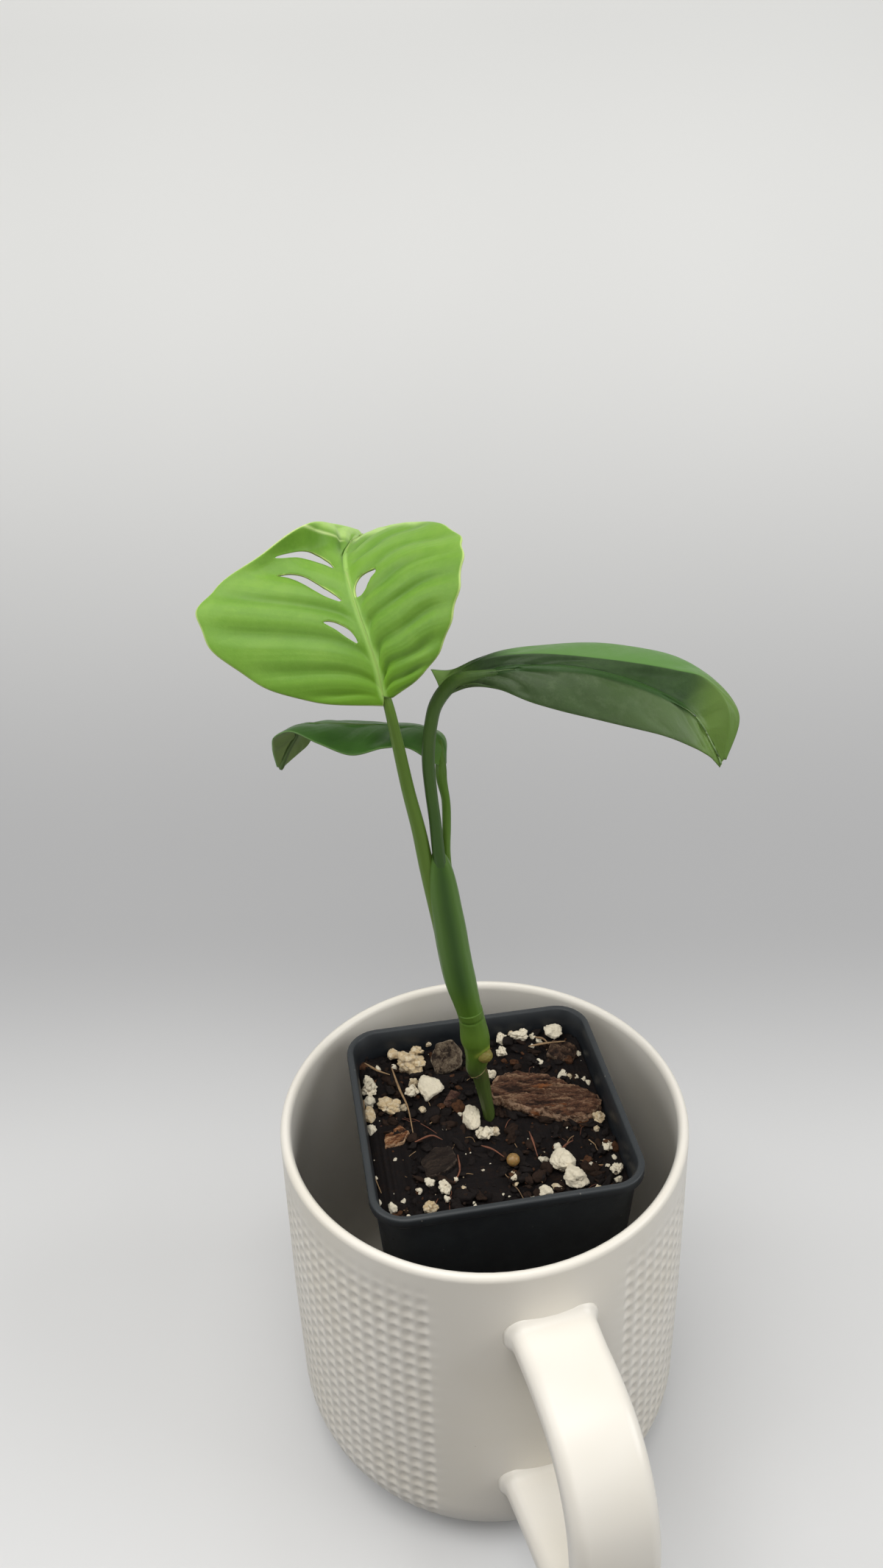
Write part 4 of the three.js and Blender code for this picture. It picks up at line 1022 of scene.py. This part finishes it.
# Each hole is a closed outline of places t, v.
HOLES_A = (
    ((0.547, 0.905), (0.595, 0.875), (0.645, 0.765), (0.683, 0.58), (0.695, 0.36), (0.672, 0.19),
     (0.652, 0.47), (0.618, 0.67), (0.575, 0.83)),
    ((0.378, 0.915), (0.43, 0.865), (0.482, 0.79), (0.532, 0.68), (0.562, 0.55), (0.562, 0.465),
     (0.53, 0.58), (0.49, 0.68), (0.45, 0.75), (0.408, 0.825)),
    ((0.217, 0.9), (0.262, 0.888), (0.295, 0.845), (0.315, 0.795), (0.318, 0.745), (0.28, 0.8),
     (0.248, 0.84)),
    ((0.39, 1.025), (0.43, 1.035), (0.48, 1.09), (0.512, 1.18), (0.522, 1.27), (0.505, 1.295),
     (0.472, 1.23), (0.43, 1.16), (0.395, 1.07)),
)
# Stalks and stem: the points of their middle lines, and [share, radius] pairs along them.
PETIOLE_A = (
    (-2.7, 4.3, 120.4), (-4.8, 4.2, 128.4), (-7.3, 4.2, 138.1), (-9.25, 4.2, 148.9), (-10.9, 4, 159.5),
    (-12.15, 3.6, 168.8), (-13.9, 3, 178.8), (-15.5, 2, 190.3), (-16.7, 1.3, 198.4), (-17.9, 2.4, 203),
)
PETIOLE_A_WIDTH = (
    (0, 1.9), (0.2, 1.8), (0.33, 1.65), (0.45, 1.55), (0.56, 1.48), (0.75, 1.2), (0.9, 1), (1, 0.75),
)
PETIOLE_B = (
    (-6.9, 3, 149.6), (-7.6, 3.1, 156.2), (-8.25, 3.4, 162.6), (-8.8, 3.8, 171.1), (-9.4, 4, 178.1),
    (-9.7, 4, 185.4), (-9, 4, 192.7), (-7.6, 4.1, 197.9), (-4.1, 4.3, 202.1), (1.6, 4, 203.6),
    (7, 3.7, 204.4), (13, 3.4, 204.9),
)
PETIOLE_B_WIDTH = (
    (0, 1.1), (0.15, 1.3), (0.27, 1.24), (0.58, 1.3), (0.7, 1.5), (0.78, 1.3), (0.85, 0.8), (1, 0.2),
)
PETIOLE_C = (
    (-6.2, 6.3, 149.6), (-6.6, 6.3, 156), (-6.85, 6.3, 162), (-6.55, 6.6, 168.5), (-6.6, 7.4, 174),
    (-7.3, 8.4, 178.1), (-7.5, 10.2, 181.4), (-7.8, 12.8, 185),
)
PETIOLE_C_WIDTH = ((0, 1), (0.3, 0.95), (0.45, 0.88), (0.6, 0.9), (0.8, 1.2), (1, 0.7))
SHEATH = (
    (-2.65, 4.2, 120.4), (-4.3, 4.2, 128.5), (-5.5, 4.2, 136.5), (-6.45, 4.2, 144.5), (-7.4, 4.2, 152.5),
    (-8, 4.2, 158.2), (-8.5, 4.2, 163.4),
)
SHEATH_WIDTH = (
    (0, 2.55), (0.08, 2.8), (0.17, 3.08), (0.33, 3.18), (0.5, 3.1), (0.67, 2.9), (0.83, 2.52), (0.94, 1.9),
    (1, 0.8),
)
STEM = (
    (1.4, 4.2, 71), (1.4, 4.2, 88), (0.65, 4.2, 94), (-0.3, 4.2, 100), (-0.75, 4.2, 102.4),
    (-1.45, 4.2, 103.8), (-1.1, 4.2, 107.5), (-1.25, 4.2, 110.5), (-1.6, 4.2, 113), (-2.05, 4.2, 117.2),
    (-2.65, 4.2, 121),
)
STEM_WIDTH = (
    (0, 1.3), (0.1, 1.35), (0.2, 1.55), (0.3, 1.83), (0.41, 1.9), (0.44, 2.35), (0.5, 2.3), (0.6, 2.75),
    (0.7, 3), (0.8, 3.42), (0.85, 3.2), (0.9, 2.92), (1, 2.9),
)
# Shares of the stem's length.
SCAR_AT = 0.45
CREASE_AT = 0.947
BUD = {"place": (0.5, 2.5, 109), "radius": 1.85, "stretch": 0.9}


def plain_sheet(leaf, t, v):
    """Points of the sheet between its rails, and the distance in millimetres from the midrib."""
    low, high = leaf["range"]
    along = low + (high - low) * np.clip(t, 0, 1)
    rails = np.stack([smooth_line(rail, along) for rail in leaf["rails"]])
    last = len(rails) - 1
    for edge, inner, reach in ((0, 1, leaf["midrib"]), (-1, -2, last - leaf["midrib"])):
        turns = leaf["furrows"][edge] * (t - leaf["slant"][edge] * reach)
        notch = leaf["scallop"] * (1 - np.cos(2 * math.pi * turns)) * plateau((0.05, 0.2), (0.8, 0.95), t)
        rails[edge] += (rails[inner] - rails[edge]) * notch[:, None]
    band = np.minimum(v.astype(int), last - 1)
    share = (v - band)[:, None]
    each = np.arange(len(t))
    points = rails[band, each] * (1 - share) + rails[band + 1, each] * share
    gaps = np.linalg.norm(np.diff(rails, axis=0), axis=2)
    return points, (v - leaf["midrib"]) * gaps[band, each]


def sheet_normals(surface, leaf, t, v, step=0.004):
    last = len(leaf["rails"]) - 1
    across = surface(leaf, t, np.minimum(v + step, last)) - surface(leaf, t, np.maximum(v - step, 0))
    along = surface(leaf, np.minimum(t + step, 1), v) - surface(leaf, np.maximum(t - step, 0), v)
    return unit(np.cross(across, along))


def sheet_measures(leaf, t, v):
    """Where a place lies among the veins: its share of a furrow, of the midrib and of the margin."""
    last = len(leaf["rails"]) - 1
    midrib = leaf["midrib"]
    points, offset = plain_sheet(leaf, t, v)
    reach = np.where(v < midrib, midrib, last - midrib)
    out = np.abs(v - midrib) / reach
    band = np.minimum(v.astype(int), last - 1)
    slant, furrows = np.array(leaf["slant"])[band], np.array(leaf["furrows"])[band]
    wander = 0.011 * np.sin(5 * out + 9 * t + 2 * v) + 0.007 * np.sin(17 * t - 3 * out)
    turns = furrows * (t - slant * out ** leaf["curve"] * reach + wander)
    phase = 2 * math.pi * turns
    shown = plateau((0.01, 0.09), (0.86, 0.99), t) * smoothstep(0.02, 0.12, out)
    shown = shown * (1 - 0.8 * smoothstep(0.75, 1, out))
    if "crease" in leaf:
        shown = shown * (1 - hump(v, leaf["crease"], 0.2))
    uneven = 0.78 + 0.22 * np.sin(5 * v + 11 * t + 3 * out)
    valley = (0.5 - 0.5 * np.cos(phase)) ** FURROW_SHARPNESS * shown * uneven
    width = leaf["rib_width"] * (1 - 0.62 * t)
    groove = hump(offset, leaf["groove_at"] * width, 0.36 * width) * smoothstep(*leaf["groove_from"], t)
    to_margin = np.where(out > 0.1, np.abs(offset) * (1 / np.maximum(out, 0.1) - 1), 9)
    to_margin = np.minimum(to_margin, 60 * np.minimum(t, 1 - t) + 0.2)
    fine = np.cos(4.3 * phase + 2 * np.sin(1.7 * phase)) * shown
    return {
        "valley": valley, "rib": hump(offset, 0, width), "groove": groove, "fine": fine, "along": t,
        "margin": np.exp(-to_margin / 0.28), "band": v / last,
    }


def swollen_sheet(leaf, t, v):
    points, _ = plain_sheet(leaf, t, v)
    normals = sheet_normals(lambda *place: plain_sheet(*place)[0], leaf, t, v)
    band = np.minimum(v.astype(int), len(leaf["rails"]) - 2)
    share = v - band
    bulges = np.stack([profile(bulge, t, 0.03) for bulge in leaf["bulge"]])
    height = bulges[band, np.arange(len(t))] * 4 * share * (1 - share)
    m = sheet_measures(leaf, t, v)
    height += leaf["furrow_depth"] * (0.3 * np.sqrt(np.maximum(share * (1 - share), 0)) - m["valley"])
    height += FINE_DEPTH * m["fine"] + leaf["rib"] * m["rib"] - leaf["groove"] * m["groove"]
    return points + normals * height[:, None]


def inside(outline, places):
    """Which places lie within a closed outline."""
    x, y = places[:, 0][:, None], places[:, 1][:, None]
    x0, y0 = outline[:, 0][None], outline[:, 1][None]
    x1, y1 = np.roll(outline[:, 0], -1)[None], np.roll(outline[:, 1], -1)[None]
    between = (y0 > y) != (y1 > y)
    crossing = x0 + (y - y0) * (x1 - x0) / np.where(y1 == y0, 1e-9, y1 - y0)
    return (between & (x < crossing)).sum(axis=1) % 2 == 1


def cut_holes(places, faces, outlines, scale):
    """The grid without the faces within the outlines; the points beside them move onto the outline."""
    for outline in outlines:
        ring = closed_line(np.asarray(outline), 500)
        gone = inside(ring, places[faces].mean(axis=1))
        beside = np.intersect1d(faces[gone].ravel(), faces[~gone].ravel())
        apart = np.linalg.norm((places[beside][:, None] - ring[None]) * scale, axis=2)
        places[beside] = ring[apart.argmin(axis=1)]
        faces = faces[~gone]
    used, flat = np.unique(faces, return_inverse=True)
    return places[used], flat.reshape(faces.shape)


def thickened(points, normals, faces, upper, lower):
    """The sheet as a closed mesh with a rim, and 0, 1 or 2 for its upper, lower and rim faces."""
    count = len(points)
    both = np.vstack([points + normals * upper[:, None], points - normals * lower[:, None]])
    edges = np.concatenate([faces[:, [k, (k + 1) % 4]] for k in range(4)])
    _, first, uses = np.unique(np.sort(edges, axis=1), axis=0, return_index=True, return_counts=True)
    rim = edges[first[uses == 1]]
    sides = np.stack([rim[:, 1], rim[:, 0], rim[:, 0] + count, rim[:, 1] + count], 1)
    every = np.vstack([faces, faces[:, ::-1] + count, sides])
    return both, every, np.repeat([0, 1, 2], [len(faces), len(faces), len(sides)])


def add_leaf(name, leaf, looks, node, holes=()):
    rows, columns = leaf["rows"] + 1, leaf["columns"] + 1
    ends = np.linspace(0, 1, rows), np.linspace(0, len(leaf["rails"]) - 1, columns)
    places = np.stack([grid.ravel() for grid in np.meshgrid(*ends, indexing="ij")], 1)
    places, faces = cut_holes(places, grid_faces(rows, columns), holes, np.array([60, 26]))
    t, v = places[:, 0], places[:, 1]
    points = swollen_sheet(leaf, t, v)
    normals = sheet_normals(swollen_sheet, leaf, t, v)
    m = sheet_measures(leaf, t, v)
    half = BLADE_THICKNESS / 2 * (1 - 0.45 * m["margin"])
    both, every, sides = thickened(points, normals, faces, half, half + 0.35 * m["rib"] * (1 - m["margin"]))
    # The line of a painted highlight across the left half, where the blade bends back.
    if "fold_highlight" in leaf:
        m["fold_highlight"] = hump(t, leaf["fold_highlight"], 0.006) * (1 - smoothstep(-0.25, -0.1, v - leaf["midrib"]))
    measures = {key: np.tile(values, 2) for key, values in m.items()}
    add_piece(name, both, every.tolist(), looks, [node], face_looks=sides, measures=measures)


def leaf_look(name, colour, valley, vein, margin, base, spots, gloss, glow):
    look = Look(name, colour, gloss, Subsurface_Weight=glow, Subsurface_Scale=0.6 * MM,
                Subsurface_Radius=GREEN_GLOW, Specular_IOR_Level=0.35, IOR=1.4)
    look.patches((7, 4), 0.35, 0.7, 0.5, spots)
    look.patches((1.1, 5, 0.7), 0.42, 0.72, 0.35, spots)
    # Painted shade: the valley colour darkens the furrows between the lateral veins.
    look.mix(look.times(look.measure("valley"), 0.3), valley)
    look.tint("fine", 0.2, 1, 0, 0.08, valley)
    look.tint("along", 0.02, 0.24, 0.9, 0, base)
    look.tint("rib", 0.25, 0.9, 0, 0.75, vein)
    # Painted shade: the valley colour darkens the groove beside the midrib.
    look.mix(look.times(look.measure("groove"), 0.7), valley)
    look.tint("margin", 0.3, 0.9, 0, 0.9, margin)
    look.bump(look.noise(0.5, 3, 0.6), 0.03)
    look.roughen(look.noise(2.2, 3), gloss - 0.08, gloss + 0.12)
    return look


def add_leaves():
    lime = leaf_look("leaf_a_upper", (112, 156, 54), (64, 106, 32), (164, 202, 108), (190, 212, 130),
                     (106, 152, 32), (130, 170, 68), 0.42, 0.3)
    lime_under = leaf_look("leaf_a_lower", (132, 172, 84), (112, 152, 70), (160, 190, 104), (190, 214, 130),
                           (150, 176, 70), (146, 182, 96), 0.55, 0.3)
    lime_rim = leaf_look("leaf_a_rim", (186, 210, 120), (160, 190, 90), (186, 210, 120), (196, 216, 140),
                         (170, 190, 80), (176, 204, 110), 0.5, 0.3)
    # Painted light: the back lobe beyond the fold is lightened where it tilts away from the light.
    lime.tint("along", 0.79, 0.84, 0, 0.85, (178, 212, 118))
    # Painted highlight: a pale line where the blade bends back.
    lime.mix(lime.times(lime.measure("fold_highlight"), 0.85), (214, 230, 160))
    add_leaf("blade_a", LEAF_A, [lime, lime_under, lime_rim], "leaf_a", HOLES_A)

    # Its base green is partly the old leaf's own deep green and partly painted shade of the steep inner
    # panel.
    deep = leaf_look("leaf_b_upper", (40, 63, 28), (32, 54, 22), (50, 82, 32), (120, 148, 92),
                     (140, 176, 90), (58, 84, 42), 0.42, 0.2)
    along, band = deep.measure("along"), deep.measure("band")
    # Painted light: the upward-facing outer strip of the far half is lightened.
    lit_strip = deep.between(band, 0.325, 0.338, 1, 0)
    deep.mix(deep.times(lit_strip, deep.between(along, 0.24, 0.36, 0, 0.8)), (96, 138, 70))
    # Painted reflection: the near half is greyed as a sheen, more towards the tip and in patches.
    near_half = deep.between(band, 0.68, 0.71, 0, 1)
    deep.mix(deep.times(near_half, 0.6), (64, 83, 46))
    deep.mix(deep.times(near_half, deep.between(along, 0.45, 0.7, 0, 0.45)), (102, 124, 78))
    sheen_patches = deep.between(deep.noise(2.6, 5, 0.7), 0.45, 0.7, 0, 0.4)
    deep.mix(deep.times(near_half, sheen_patches), (86, 103, 70))
    # Painted shade: darker along the midrib's groove, from a little past the base.
    midrib_shade = deep.times(deep.between(deep.measure("rib"), 0.3, 0.8), deep.between(along, 0.1, 0.3))
    deep.mix(deep.times(midrib_shade, 0.8), (40, 72, 24))
    # Painted light: the tip is lightened to olive where light shines through it.
    deep.tint("along", 0.68, 0.86, 0, 0.9, (98, 126, 56))
    deep_under = leaf_look("leaf_b_lower", (96, 122, 82), (80, 106, 66), (116, 140, 92), (146, 176, 110),
                           (104, 134, 80), (106, 132, 92), 0.55, 0.2)
    deep_rim = leaf_look("leaf_b_rim", (150, 172, 118), (130, 156, 100), (150, 172, 118), (160, 180, 126),
                         (140, 164, 100), (144, 168, 112), 0.5, 0.2)
    add_leaf("blade_b", LEAF_B, [deep, deep_under, deep_rim], "leaf_b")

    dark = leaf_look("leaf_c_upper", (74, 120, 46), (42, 76, 30), (78, 122, 50), (120, 156, 88),
                     (100, 142, 56), (66, 104, 44), 0.4, 0.2)
    dark_under = leaf_look("leaf_c_lower", (150, 178, 104), (104, 130, 74), (76, 100, 54), (150, 176, 112),
                           (134, 156, 100), (144, 166, 108), 0.5, 0.2)
    dark_rim = leaf_look("leaf_c_rim", (100, 136, 76), (84, 120, 62), (100, 136, 76), (112, 146, 86),
                         (96, 130, 70), (96, 132, 72), 0.5, 0.2)
    add_leaf("blade_c", LEAF_C, [dark, dark_under, dark_rim], "leaf_c")


def stalk_look(name, low, high, fleck):
    look = Look(name, low, 0.36, Subsurface_Weight=0.15, Subsurface_Scale=0.8 * MM,
                Subsurface_Radius=GREEN_GLOW, Specular_IOR_Level=0.22)
    look.mix(look.measure("along"), high)
    lines = look.noise(1.6, 3, 0.6, 0, look.stretched((1, 1, 0.12)))
    look.mix(look.between(lines, 0.4, 0.7, 0, 0.5), fleck)
    look.mix(look.dots(1.3, 0.05, 0.12, 0.5, (look.noise(6, 2), 0.45, 0.6)), fleck)
    look.bump(look.noise(0.5, 3, 0.6, 0, look.stretched((1, 1, 0.15))), 0.04)
    look.roughen(look.noise(2, 3), 0.3, 0.48)
    return look


def stalk_relief(angle, share):
    """Fine lengthwise ribs and slow swells."""
    return 0.025 * np.cos(11 * angle + 1.3) + 0.02 * np.sin(23 * share + 2 * angle)


def along_of(steps, sides):
    """The share of the way along a capped tube, for each of its points."""
    return np.concatenate([np.repeat(np.linspace(0, 1, steps), sides), [0, 1]])


def add_stalks():
    steps, sides = 150, 40
    stalks = (
        ("petiole_a", PETIOLE_A, PETIOLE_A_WIDTH, "leaf_new", "leaf_a",
         stalk_look("stalk_a", (100, 128, 52), (98, 128, 50), (98, 128, 50))),
        ("petiole_b", PETIOLE_B, PETIOLE_B_WIDTH, "leaf_old", "leaf_b",
         stalk_look("stalk_b", (48, 78, 34), (98, 126, 60), (66, 96, 46))),
        ("petiole_c", PETIOLE_C, PETIOLE_C_WIDTH, "leaf_dark", "leaf_c",
         stalk_look("stalk_c", (92, 126, 42), (84, 118, 42), (100, 134, 54))),
    )
    for name, path, widths, slot, node, look in stalks:
        points, faces = capped_tube(path, widths, steps, sides, relief=stalk_relief)
        if name == "petiole_b":
            look.tint("along", 0.74, 0.92, 0, 1, (64, 90, 46))
        add_piece(name, points, faces, [look], [node], measures={"along": along_of(steps, sides)})


def seam_of(share):
    """The angle round the sheath at which its free edge lies: at its left, and in front at its tip."""
    return np.radians(profile(((0, 82), (0.6, 88), (0.85, 96), (1, 110)), share))


def past_seam(angle, share):
    """How far round the sheath a place lies past its free edge, in millimetres."""
    return (angle - seam_of(share)) * 2.7


def add_sheath():
    steps, sides = 150, 110

    def relief(angle, share):
        lap = plateau((-0.12, 0.1), (3, 7), past_seam(angle, share))
        fade = plateau((0.05, 0.3), (0.93, 1), share)
        return stalk_relief(angle, share) + 0.26 * (lap - 0.4) * fade

    points, faces = capped_tube(SHEATH, SHEATH_WIDTH, steps, sides, squash=1.11, relief=relief)
    share = along_of(steps, sides)
    angle = np.concatenate([np.tile(np.linspace(0, 2 * math.pi, sides, endpoint=False), steps), [0, 0]])
    past = past_seam(angle, share)
    measures = {"along": share, "wrap": smoothstep(-0.1, 0.2, past)}
    measures["edge"] = hump(past, 0, 0.3) * smoothstep(0.2, 0.5, share)
    measures["middle"] = hump(angle, math.radians(188), 0.5)
    look = stalk_look("sheath", (140, 168, 92), (138, 166, 90), (144, 172, 96))
    look.tint("wrap", 0, 1, 0, 0.88, (76, 112, 44))
    look.mix(look.times(look.measure("middle"), 0.75), (42, 72, 28))
    look.tint("edge", 0.2, 0.9, 0, 0.8, (150, 182, 110))
    look.tint("along", 0.02, 0.22, 0.7, 0, (84, 118, 34))
    add_piece("sheath", points, faces, [look], ["leaf_a"], measures=measures)


def add_stem():
    steps, sides = 230, 48

    def relief(angle, share):
        torn = 0.14 + 0.08 * np.sin(5 * angle) + 0.06 * np.sin(13 * angle)
        ring = torn * hump(share, SCAR_AT, 0.01)
        return stalk_relief(angle, share) + ring - 0.14 * hump(share, CREASE_AT, 0.008)

    points, faces = capped_tube(STEM, STEM_WIDTH, steps, sides, reference=(1, 0, 0), relief=relief)
    share = along_of(steps, sides)
    off_bud = points - np.array(BUD["place"])
    collar = hump(np.linalg.norm(off_bud, axis=1), 1.2 * BUD["radius"], 0.42)
    measures = {
        "along": share, "scar": hump(share, SCAR_AT, 0.012), "crease": hump(share, CREASE_AT, 0.008),
        "below": plateau((SCAR_AT - 0.14, SCAR_AT - 0.03), (SCAR_AT - 0.01, SCAR_AT), share),
        "collar": collar * smoothstep(-0.4, 0.8, off_bud[:, 2]),
    }
    look = stalk_look("stem", (62, 78, 34), (62, 78, 34), (80, 98, 46))
    look.tint("along", 0.46, 0.7, 0, 0.9, (88, 118, 38))
    look.tint("along", 0.84, 0.96, 0, 0.5, (76, 108, 38))
    blotches = look.between(look.noise(1.4, 3), 0.4, 0.6)
    look.mix(look.times(look.measure("below"), blotches), (84, 76, 46))
    look.tint("scar", 0.25, 0.8, 0, 0.85, (150, 134, 92))
    look.mix(look.times(look.measure("collar"), 0.8), (142, 158, 62))
    look.tint("crease", 0.3, 1, 0, 0.5, (70, 104, 30))
    add_piece("stem_and_node", points, faces, [look], ["stem"], measures=measures)

    points, faces = ball(5)
    pattern = np.array([1 + 0.05 * rough(p, 1 / 3, 3) for p in points])
    points = points * pattern[:, None] * BUD["radius"] * np.array([1, 1, BUD["stretch"]]) + BUD["place"]
    bud = stalk_look("bud", (118, 110, 50), (118, 110, 50), (138, 128, 68))
    bud.patches((1.6, 3), 0.45, 0.65, 0.6, (112, 96, 50))
    add_piece("bud", points, faces, [bud], ["stem"], measures={"along": np.zeros(len(points))})


add_camera()
add_studio()
add_mug()
add_pot()
add_soil()
add_crumbs()
add_perlite()
add_bark()
add_bead()
add_fibres()
add_leaves()
add_stalks()
add_sheath()
add_stem()
